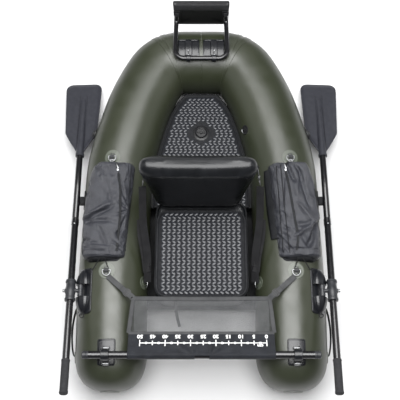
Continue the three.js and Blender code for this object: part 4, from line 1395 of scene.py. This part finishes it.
def motor_bracket():
    top = frame_high.z - 0.010
    y_rear = board_low.y - 0.0134
    z = motor_hinge.z
    corners = [(0.115, y_rear, top), (0.117, y_rear, z), (0.121, motor_hinge.y, z)]
    corners += [(-x, y, h) for x, y, h in reversed(corners)]
    path = bent(corners, MOTOR_BEND)
    smooth_path = []
    for a, b in zip(path, path[1:]):
        steps = max(1, int((b - a).length / 0.02))
        smooth_path += [a.lerp(b, k / steps) for k in range(steps)]
    smooth_path.append(path[-1])
    tube = sweep(smooth_path, circle(MOTOR_TUBE_R, 24), up=(0.02, -0.3, 1))
    piece("motor_tube", [tube], tube_look, "motor_bracket", "black_tube", "motor_frame")
    plates, bolts = [], []
    head = [(0.0060, -0.002), (0.0060, 0.001), (0.0052, 0.0022), (0.0008, 0.0026)]
    for sign in (-1, 1):
        x = sign * 0.113
        plates.append(block((0.032, 0.0042, 0.094), at(x, y_rear + 0.0112, 0.323), 0.0012, 2))
        for height in (0.296, 0.352):
            base = at(x, y_rear + 0.010, height, 90)
            bolts.append(lathe(head, base, 20))
            rear = at(x, board_high.y - 0.0008, height, -90)
            bolts.append(lathe([(0.0085, 0), (0.0085, 0.0012), (0.0055, 0.0014), (0.0055, 0.0048),
                                (0.0045, 0.0056), (0.0008, 0.0058)], rear, 6))
    piece("motor_plates", plates, black_look, "motor_bracket", "board_plastic")
    piece("motor_bolts", bolts, steel_look, "motor_bracket", "steel")
    outline = []
    for x, h in ((0.126, board_low.z), (0.131, board_high.z)):
        outline.append((x, h))
    outline += [(-x, h) for x, h in reversed(outline)]
    outline = even([(x, h) for x, h in outline], 0.006, 2)
    middle_y = (board_low.y + board_high.y) / 2
    thick = (board_high.y - board_low.y) / 2
    shapes = []
    for toward in (-1, 1):
        place = lambda x, h, d: Vector((x, middle_y + toward * d, h))
        profile = [(0, 0), (0.0004, thick - 0.003), (0.0030, thick), (0.010, thick),
                   (0.0115, thick - 0.0015), (0.016, thick - 0.0015)]
        shapes.append(mound(outline, profile, place))
    piece("motor_plate_body", shapes, black_look, "motor_bracket", "board_plastic", "motor_board")
    ribs = []
    z0, z1 = board_high.z - 0.046, board_high.z - 0.004
    for toward in (-1, 1):
        y = middle_y + toward * (thick - 0.0006)
        ribs.append(block((0.250, 0.0024, z1 - z0), at(0, y, (z0 + z1) / 2), 0.0010, 2))
        for x in np.arange(-0.120, 0.1201, 0.0060):
            rib_at = at(x, y + toward * 0.0012, (z0 + z1) / 2)
            ribs.append(block((0.0028, 0.0026, z1 - z0 - 0.006), rib_at, 0.0009, 2))
    piece("motor_board_grips", ribs, ridge_look, "motor_bracket", "grey_plastic")


motor_bracket()


def motor_pads():
    low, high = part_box("right_motor_pad")
    x0, x1, y0, y1 = low.x, high.x, motor_hinge.y + 0.020, high.y

    def place(x, y, h):
        s, angle = spot((x0 + x1) / 2 + x, (y0 + y1) / 2 + y)
        return skin(s, angle, h)

    profile = [(0, -0.0008), (0.0005, 0.003), (0.0025, 0.0042), (0.006, 0.0042), (0.0072, 0.0032),
               (0.014, 0.0032)]
    shapes = [mound(rounded((x1 - x0) / 2, (y1 - y0) / 2, 0.010), profile, place)]
    ridge = [(0, 0.002), (0.0005, 0.0075), (0.003, 0.0092), (0.008, 0.0092)]
    ridge_plan = rounded(0.017, (y1 - y0) / 2 - 0.008, 0.008)
    shapes.append(mound(ridge_plan, ridge, lambda x, y, h: place(x + 0.001, y, h)))
    centre = Vector((0.059, motor_hinge.y, motor_hinge.z))
    turn = Matrix.Translation(centre) @ Matrix.Rotation(math.radians(90), 4, "Y")
    r = MOTOR_TUBE_R + 0.0004
    ring = [(r, -0.009), (r + 0.0038, -0.009), (r + 0.0048, -0.008), (r + 0.0048, 0.008),
            (r + 0.0038, 0.009), (r, 0.009)]
    rings = [[turn @ Vector((px, py, h)) for px, py in circle(radius, 32)] for radius, h in ring]
    shapes.append(loft(rings, loop=True))
    foot = skin(*spot(centre.x, centre.y + 0.018)).z
    shapes.append(block((0.018, 0.034, 0.012), at(centre.x, centre.y + 0.020, foot + 0.006, -18), 0.003, 3))
    both("{side}_motor_clamp", shapes, rubber_look, "hull", "pad_rubber", "{side}_motor_pad")
    rivets = []
    for y in (0.032, 0.052):
        s, angle = spot(centre.x, centre.y + y)
        spot_at = skin(s, angle, 0.009)
        up = (skin(s, angle, 0.02) - spot_at).normalized().to_track_quat("Z", "Y").to_matrix().to_4x4()
        rivets.append(lathe([(0.0042, -0.001), (0.0042, 0.0008), (0.003, 0.0020), (0.0006, 0.0024)],
                            Matrix.Translation(spot_at) @ up, 18))
    both("{side}_motor_rivets", rivets, steel_look, "hull", "steel")


motor_pads()

# ---------------------------------------------------------------- side bags

bag_low, bag_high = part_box("right_side_bag")
BAG_BOW = bag_low.y + 0.014
BAG_STERN = bag_high.y
BAG_LONG = BAG_STERN - BAG_BOW
BAG_TOP = bag_high.z
TUBE_X = 0.385  # the tube's centre line beside the bags
DEGREE = 0.0033  # length along the bag's cloth for one degree about the tube's centre line


def saddle(v, shrink=0.0, lean=0.0):
    """The bag's section at a share v of its length: a shell over the tube, closed along its skin."""
    y = BAG_BOW + BAG_LONG * v
    end = min(v, 1 - v) * BAG_LONG
    soft = 0.014
    if end < soft:
        shrink += 0.013 * (1 - math.sqrt(1 - ((soft - end) / soft) ** 2))
    outer = bag_high.x - 0.004 - 0.030 * max(0, (v - 0.55) / 0.45) ** 2 - shrink
    inner = bag_low.x + 0.004 + lean * (1 - v) + shrink
    top = BAG_TOP - 0.003 - shrink - 0.010 * max(0, 0.5 - v)

    def ground(x):
        return skin(*spot(x, y)).z + 0.0012

    crown = 0.427
    over = [
        (outer, ground(outer)), (outer + 0.001, 0.275), (outer - 0.001, 0.305 - shrink),
        (outer - 0.012, 0.322 - shrink), (crown + 0.02, top), (crown - 0.03, top),
        (inner + 0.055, top - 0.004), (inner + 0.018, top - 0.012), (inner + 0.003, top - 0.030),
        (inner, ground(inner)),
    ]
    over = [(p.x, p.y) for p in spline([(x, z, 0) for x, z in over], 6)]
    under = [(x, ground(x)) for x in np.linspace(inner, outer, 16)[1:-1]]
    return [Vector((x, y, z)) for x, z in over + under]


def crease_depth(p, creases):
    """How far the cloth is pushed in at a point, and out where negative."""
    turn = math.degrees(math.atan2(p.z - TUBE_R, p.x - TUBE_X))
    here = Vector((turn * DEGREE, p.y))
    depth = 0.0
    for turn0, v0, turn1, v1, width, groove, step in creases:
        a = Vector((turn0 * DEGREE, BAG_BOW + BAG_LONG * v0))
        b = Vector((turn1 * DEGREE, BAG_BOW + BAG_LONG * v1))
        t = max(0.0, min(1.0, (here - a).dot(b - a) / (b - a).length_squared))
        gap = here - a.lerp(b, t)
        far = gap.length / width
        if far < 3:
            fade = min(1.0, 6 * t + 0.35, 6 * (1 - t) + 0.35)
            side = math.copysign(1, (b - a).cross(gap)) * far
            depth += 1.75 * fade * math.exp(-far * far) * (groove + step * side * 1.6)
    return depth


LEFT_CREASES = [
    # turn and share of length at each end, width, depth of groove, height of step
    (68, 1.00, 77, 0.83, 0.0042, 0.012, 0.0),
    (72, 1.00, 81, 0.85, 0.0040, 0.010, 0.0),
    (74, 0.97, 84, 0.72, 0.0075, -0.005, 0.004),
    (86, 0.95, 91, 0.84, 0.0050, 0.006, 0.0),
    (79, 0.80, 89, 0.56, 0.0110, 0.006, 0.003),
    (55, 0.385, 89, 0.525, 0.0120, 0.0, -0.010),
    (57, 0.365, 88, 0.370, 0.0100, 0.007, 0.0),
    (60, 0.43, 74, 0.62, 0.0160, 0.004, 0.0),
    (59, 0.96, 54, 0.66, 0.0048, 0.005, 0.0),
    (54, 0.64, 51, 0.28, 0.0044, 0.004, 0.0),
    (50, 0.735, 57, 0.76, 0.0040, 0.005, 0.0),
    (52, 0.185, 66, 0.165, 0.0060, 0.005, 0.002),
    (56, 0.13, 88, 0.105, 0.0080, 0.0, 0.004),
    (50, 0.055, 88, 0.050, 0.0042, 0.006, 0.0),
    (76, 0.30, 86, 0.12, 0.0090, 0.005, 0.002),
    (99, 0.565, 112, 0.500, 0.0050, 0.008, 0.002),
    (99, 0.43, 111, 0.475, 0.0050, 0.007, -0.002),
    (101, 0.20, 112, 0.420, 0.0070, 0.007, 0.0),
    (100, 0.86, 108, 0.62, 0.0080, 0.005, 0.0),
    (97, 0.15, 108, 0.080, 0.0050, 0.007, 0.0),
]
RIGHT_CREASES = [
    (96, 1.00, 86, 0.775, 0.0056, 0.015, 0.003),
    (84, 0.955, 78, 0.87, 0.0060, 0.011, 0.0),
    (79, 0.89, 77, 0.76, 0.0068, 0.012, -0.002),
    (76, 0.76, 67, 0.51, 0.0090, 0.008, 0.003),
    (86, 0.77, 84, 0.62, 0.0110, -0.005, 0.0),
    (66, 0.355, 52, 0.425, 0.0070, -0.007, 0.004),
    (66, 0.355, 84, 0.545, 0.0080, -0.006, -0.003),
    (66, 0.355, 87, 0.225, 0.0075, -0.007, 0.003),
    (56, 0.390, 71, 0.095, 0.0085, 0.016, 0.004),
    (68, 0.34, 86, 0.34, 0.0110, 0.007, 0.0),
    (84, 0.30, 70, 0.12, 0.0120, 0.006, 0.0),
    (54, 0.065, 88, 0.090, 0.0048, 0.006, 0.0),
    (60, 0.03, 86, 0.020, 0.0050, -0.003, 0.0),
    (59, 0.98, 55, 0.50, 0.0070, 0.004, 0.0),
    (102, 0.31, 95, 0.290, 0.0055, 0.008, 0.003),
    (104, 0.24, 96, 0.190, 0.0055, 0.008, 0.0),
    (104, 0.46, 96, 0.390, 0.0060, 0.006, 0.0),
    (101, 0.85, 103, 0.55, 0.0070, 0.004, 0.0),
    (100, 0.13, 95, 0.080, 0.0060, 0.007, 0.0),
]


def bag_shell(side, creases, lean):
    """A sagging nylon shell with its folds, then a short cloth simulation for the small wrinkles."""
    shares = [0.5 - 0.5 * math.cos(math.pi * k / 70) if k in (0, 70) else k / 70 for k in range(71)]
    rings = []
    for v in [0.0, 0.008, 0.02, *shares[3:-3], 0.98, 0.992, 1.0]:
        ring = saddle(v, 0.003, lean)
        centre = Vector((TUBE_X, ring[0].y, TUBE_R))
        shaped = []
        for p in ring:
            if p.z > skin(*spot(p.x, p.y)).z + 0.012:
                depth = crease_depth(p, creases)
                depth += 0.0022 * noise.noise(p * 21 + Vector((0, 0, 9 if side == "left" else 3)))
                p = p - (p - centre).normalized() * depth
            shaped.append(p)
        rings.append(shaped)
    shape = loft(rings)
    if side == "left":
        shape = mirrored(shape)
    made = piece(f"{side}_bag_shell", [shape], bag_look, "hull", "bag_nylon", f"{side}_side_bag", sharp=70)

    def near_hull(co):
        x = abs(co.x)
        return co.z < skin(*spot(x, co.y)).z + 0.010 or co.y < BAG_BOW + 0.008

    inflate(made, 0.0052, 0.6, 0.0055, 12, 0.0005, near_hull, 0.05)
    return made


def over_bag(made, side):
    """Finds the bag's surface: (turn, share) to a point lifted off it, in the right side's frame."""
    tree = BVHTree.FromObject(made, bpy.context.evaluated_depsgraph_get())
    flip = -1 if side == "left" else 1

    def place(turn, share, lift):
        y = BAG_BOW + BAG_LONG * share
        a = math.radians(turn)
        out = Vector((flip * math.cos(a), 0, math.sin(a)))
        centre = Vector((flip * TUBE_X, y, TUBE_R))
        hit = tree.ray_cast(centre + out * 0.4, -out, 0.4)[0]
        return (hit if hit else centre + out * 0.185) + out * lift

    return place


def zip_along(name, place, stops, side):
    """A zip: its tape, two rows of teeth, a slider and a pull."""
    path = [place(turn, share, 0.0018) for turn, share in stops]
    path = [p for p in spline(path, 5)]
    piece(f"{side}_{name}_tape", [sweep(path, strip(0.010, 0.0016))], bag_dark_look, "hull", "black_webbing")
    teeth = []
    for k in range(len(path) - 1):
        ahead = (path[k + 1] - path[k]).normalized()
        across = ahead.cross(Vector((0, 0, 1))).normalized()
        for step in (0.25, 0.75):
            p = path[k].lerp(path[k + 1], step)
            for sign in (-1, 1):
                tooth = Matrix.Translation(p + across * sign * 0.0014 + Vector((0, 0, 0.0012)))
                teeth.append(block((0.0022, 0.0014, 0.0014), tooth, 0.0003, 1))
    piece(f"{side}_{name}_teeth", teeth, black_look, "hull", "valve_plastic")
    last = path[3]
    heading = Matrix.Rotation(math.atan2(path[4].y - path[3].y, path[4].x - path[3].x), 4, "Z")
    slider = Matrix.Translation(last + Vector((0, 0, 0.0030))) @ heading
    pull = [block((0.012, 0.008, 0.0036), slider, 0.0012, 2),
            block((0.022, 0.0055, 0.0014), slider @ at(-0.016, 0.001, 0.0006, 0, -6, 12), 0.0006, 2)]
    piece(f"{side}_{name}_pull", pull, steel_look, "hull", "steel")


def bag_hem(place, turns, share, width):
    """A folded band across the bag."""
    path = [place(turn, share, 0.0008) for turn in np.linspace(*turns, 26)]
    ahead = Vector((0, 1, 0))
    rings = []
    for p in path:
        out = Vector((p.x - math.copysign(TUBE_X, p.x), 0, p.z - TUBE_R)).normalized()
        rings.append([p + ahead * a * width + out * b for a, b in
                      ((-0.5, -0.0006), (-0.46, 0.0008), (0.46, 0.0008), (0.5, -0.0006))])
    return loft(rings)


def bag_base(side):
    """The dark end panel that the shell is sewn to, toward the bow."""
    rings = []
    for d, shrink in ((-0.0130, 0.044), (-0.012, 0.034), (-0.0085, 0.026), (-0.003, 0.0200), (0.008, 0.0160)):
        ring = saddle(0.03, shrink, 0.036)
        rings.append([Vector((p.x, BAG_BOW + d, p.z)) for p in ring])
    shape = loft(rings)
    if side == "left":
        shape = mirrored(shape)
    made = piece(f"{side}_bag_base", [shape], bag_dark_look, "hull", "bag_nylon", sharp=50)


def flat_strap(stops, width=0.006, thick=0.0016):
    """A thin band through a few stops."""
    return sweep(spline(stops, 8), strip(width, thick))


def bags():
    for side, creases, lean in (("right", RIGHT_CREASES, 0.036), ("left", LEFT_CREASES, 0.030)):
        made = bag_shell(side, creases, lean)
        place = over_bag(made, side)
        bag_base(side)
        flip = -1 if side == "left" else 1
        if side == "left":
            zip_along("zip", place, [(96, 0.98), (99, 0.86), (102, 0.7), (103, 0.5), (103, 0.35),
                                     (102, 0.2), (101, 0.06)], side)
            seams = [[(116 - 3 * (1 - v), v) for v in np.linspace(0.98, 0.03, 24)]]
            hems = [((49, 92), 0.045, 0.020)]
        else:
            zip_along("zip", place, [(98, 0.97), (96, 0.86), (93, 0.7), (90, 0.5), (87, 0.35),
                                     (85, 0.2), (87, 0.06)], side)
            seams = [[(103 - 7 * (1 - v) ** 1.4, v) for v in np.linspace(0.97, 0.04, 24)],
                     [(109 - 4 * (1 - v), v) for v in np.linspace(0.96, 0.05, 24)]]
            hems = [((52, 88), 0.050, 0.024)]
        edges = [sweep([place(turn, v, 0.0012) for turn, v in seam], circle(0.0021, 8)) for seam in seams]
        outer = [place(50 + 7 * v, v, 0.0008) for v in np.linspace(0.04, 0.97, 24)]
        edges.append(sweep(outer, circle(0.0017, 8)))
        piece(f"{side}_bag_piping", edges, bag_dark_look, "hull", "black_webbing")
        bands = [bag_hem(place, turns, share, width) for turns, share, width in hems]
        piece(f"{side}_bag_hem", bands, bag_look, "hull", "bag_nylon")
        ring = Vector(joints[f"{side}_rear_ring_swing"]["pos_m"])
        hook_at = Vector((ring.x, ring.y - 0.024, ring.z + 0.002))
        top = place(97, 0.965, 0.001)
        hook = [d_loop(hook_at + Vector((0, 0.006, 0.001)), 0.006, 0.010, 0.0016)]
        piece(f"{side}_bag_hook", hook, steel_look, "hull", "steel")
        tab = [hook_at + Vector((0, -0.010, 0.001)), hook_at.lerp(top, 0.5) + Vector((0, 0, 0.003)), top,
               top + Vector((0, -0.022, 0.0008))]
        lines = [flat_strap(tab, 0.010, 0.0018)]
        front_ring = Vector(joints[f"{side}_front_ring_swing"]["pos_m"])
        low_end = Vector((flip * 0.40, BAG_BOW - 0.004, skin(*spot(0.40, BAG_BOW)).z + 0.030))
        patch_end = front_ring + Vector((-flip * 0.004, 0.012, 0.000))
        sag = low_end.lerp(patch_end, 0.5) + Vector((0, 0, -0.004))
        lines.append(flat_strap([low_end, sag, patch_end], 0.004))
        out_x = 0.452
        lock_end = Vector((flip * out_x, LOCK.y + 0.085, skin(*spot(out_x, LOCK.y + 0.085)).z + 0.006))
        start = Vector((flip * 0.415, BAG_BOW - 0.002, low_end.z))
        lines.append(flat_strap([start, start.lerp(lock_end, 0.5) + Vector((0, 0, 0.001)), lock_end], 0.004))
        piece(f"{side}_bag_straps", lines, strap_look, "hull", "black_webbing")
    back_panel()


def back_panel():
    """The right bag has fallen outward, so its flat dark back panel shows on the tube's inner shoulder."""
    rows, columns = 44, 10
    y0, y1 = BAG_BOW + 0.20 * BAG_LONG, BAG_BOW + 0.955 * BAG_LONG
    points = []
    for r in range(rows + 1):
        t = r / rows
        y = y0 + (y1 - y0) * t
        x0 = 0.298 - 0.020 * t - (0.004 * math.sin(math.pi * t))
        for c in range(columns + 1):
            x = x0 + 0.075 * c / columns
            s, angle = spot(x, y)
            ripple = 0.002 * noise.noise(Vector((x * 20, y * 14, 0)))
            lift = 0.004 + 0.008 * math.sin(math.pi * c / columns) + ripple
            points.append(skin(s, angle, lift))
    shape = points, grid_faces(rows + 1, columns + 1, loop_columns=False)
    made = piece("right_bag_back", [shape], bag_dark_look, "hull", "bag_nylon", sharp=60)
    wall = made.modifiers.new("wall", "SOLIDIFY")
    wall.thickness = 0.0012
    wall.offset = 1


bags()

# ---------------------------------------------------------------- seat back straps

STRAP_TOP = Vector((0.240, 0.016, 0.500))
STRAP_LOW = Vector((0.240, -0.404, 0.206))


def back_straps():
    """Webbing from the seat back to the hull's inner side, with a snap hook above and a buckle below."""
    low = STRAP_LOW + Vector((0.004, 0.004, 0.004))
    hook_low = STRAP_TOP.lerp(low, 0.17)
    sag = Vector((0, 0, -0.012))
    inward = Vector((-0.016, 0, 0.006))
    stops = [hook_low, hook_low.lerp(low, 0.35) + sag, hook_low.lerp(low, 0.7) + sag + inward, low + inward]
    path = spline(stops, 16)
    along = (low - hook_low).normalized()
    facing = Vector((-0.55, -0.35, 1))
    web = sweep(path, strip(0.034, 0.0024), up=facing)
    tail_stops = [path[42] + Vector((0.004, 0, 0.004)), path[32] + Vector((0.012, 0, -0.002)),
                  path[22] + Vector((0.016, 0, -0.010)), path[14] + Vector((0.012, 0, -0.026))]
    tail = sweep(spline(tail_stops, 10), strip(0.030, 0.0022), up=Vector((-0.15, -0.35, 1)))
    rows = stitches(path[4:14], 0.034, up=facing, pitch=0.005)
    straps = both("{side}_back_strap_web", [web, tail, *rows], strap_look, "", "black_webbing",
                  "{side}_backrest_strap")
    turn = along.to_track_quat("Y", "X").to_matrix().to_4x4()
    buckle = []
    for share in (0.80, 0.86):
        p = path[int(share * (len(path) - 1))] + Vector((0.003, 0, 0.001))
        buckle.append(block((0.004, 0.0035, 0.032), Matrix.Translation(p) @ turn, 0.001, 2))
    p = path[int(0.83 * (len(path) - 1))] + Vector((0.003, 0, 0.001))
    for edge in (-0.0150, 0.0150):
        buckle.append(block((0.004, 0.028, 0.0035), Matrix.Translation(p) @ turn @ at(0, 0, edge), 0.001, 2))
    both("{side}_back_buckle", buckle, black_look, "hull", "valve_plastic")
    lug = STRAP_TOP + Vector((-0.012, -0.004, -0.014))
    eye_centre = lug.lerp(hook_low, 0.24)
    snap = []
    gate = (hook_low - lug).normalized()
    side_way = gate.cross(Vector((1, 0, 0))).normalized()
    loop_centre = lug.lerp(hook_low, 0.76)
    for centre, a, b, wire in ((eye_centre, 0.022, 0.0085, 0.0022), (loop_centre, 0.015, 0.0150, 0.0020)):
        ring = [centre + gate * (a * math.cos(t)) + side_way * (b * math.sin(t))
                for t in np.linspace(0, 2 * math.pi, 28, endpoint=False)]
        snap.append(sweep(ring, circle(wire, 8), up=(1, 0, 0), loop=True))
    snap.append(block((0.007, 0.014, 0.010), Matrix.Translation(lug.lerp(hook_low, 0.52)) @ turn, 0.002, 2))
    both("{side}_back_snap", snap, steel_look, "backrest", "steel")
    tab = [
        STRAP_TOP + Vector((-0.040, -0.010, -0.004)),
        STRAP_TOP + Vector((-0.018, -0.005, -0.006)),
        lug + gate * 0.006,
    ]
    both("{side}_back_tab", [flat_strap(tab, BACK_TAB_WEB, 0.0024)], strap_look, "backrest", "black_webbing")
    for made in straps:
        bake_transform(made)
    s = spot(0.262, low.y)[0]
    patch = round_patch(s, 158, 0.030, 0.0018)
    both("{side}_back_patch", patch, patch_look, "hull", "patch_fabric")
    eye = on_skin(s, 158)(0.0, 0.0, 0.010)
    both("{side}_back_eye", [d_loop(eye, 0.012, 0.008, 0.002, Matrix.Rotation(math.radians(55), 4, "Y"))],
         steel_look, "hull", "steel")


back_straps()


def inner_patch():
    """A small patch with a ring on the right tube's inner side, beside the deck."""
    s = spot(0.205, 0.314)[0]
    patch = round_patch(s, 152, 0.022, 0.0016)
    piece("right_deck_patch", patch, strap_look, "hull", "patch_fabric")
    eye = on_skin(s, 152)(0.0, 0.0, 0.007)
    piece("right_deck_eye", [d_loop(eye, 0.011, 0.008, 0.0018, Matrix.Rotation(math.radians(40), 4, "Y"))],
          steel_look, "hull", "steel")


inner_patch()

# ---------------------------------------------------------------- floor, light and camera


def stage_and_light():
    bpy.ops.mesh.primitive_plane_add(size=14)
    floor = bpy.context.object
    floor.name = "studio_floor"
    paper = look("studio_paper", (0.74, 0.74, 0.74), 0.9)
    vary(paper, noise_of(paper, 1.5), (0.73, 0.73, 0.735), (0.75, 0.75, 0.755))
    floor.data.materials.append(paper)
    floor.location.z = -0.001
    floor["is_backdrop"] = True
    world = bpy.data.worlds.new("studio")
    world.use_nodes = True
    world.node_tree.nodes["Background"].inputs["Color"].default_value = (1, 1, 1, 1)
    world.node_tree.nodes["Background"].inputs["Strength"].default_value = 0.16
    scene.world = world
    for name, place, aim, size, power in (
        ("overhead", (0.0, 0.10, 3.3), (0, 0.0, 0), 3.0, 250),
        ("left_fill", (-3.4, 0.4, 2.0), (0, 0, 0.2), 2.0, 12),
        ("right_fill", (3.4, 0.4, 2.0), (0, 0, 0.2), 2.0, 12),
        ("back_fill", (0.0, 3.6, 2.0), (0, 0, 0.2), 2.0, 14),
    ):
        data = bpy.data.lights.new(name, "AREA")
        data.energy = power
        data.size = size
        lamp = bpy.data.objects.new(name, data)
        lamp.location = place
        lamp.rotation_euler = (Vector(aim) - Vector(place)).to_track_quat("-Z", "Y").to_euler()
        scene.collection.objects.link(lamp)


def camera():
    data = bpy.data.cameras.new("camera")
    data.sensor_width = 36
    data.lens = 61.65
    made = bpy.data.objects.new("camera", data)
    made.location = (-0.0057, -1.064, 3.06)
    made.rotation_euler = (math.radians(90 - 70), 0, 0)
    scene.collection.objects.link(made)
    scene.camera = made


stage_and_light()
camera()
scene.view_settings.view_transform = "Standard"
boxes = {"cad": cad_box, "visual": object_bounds()}
{name: [list(corner) for corner in box] for name, box in boxes.items()}
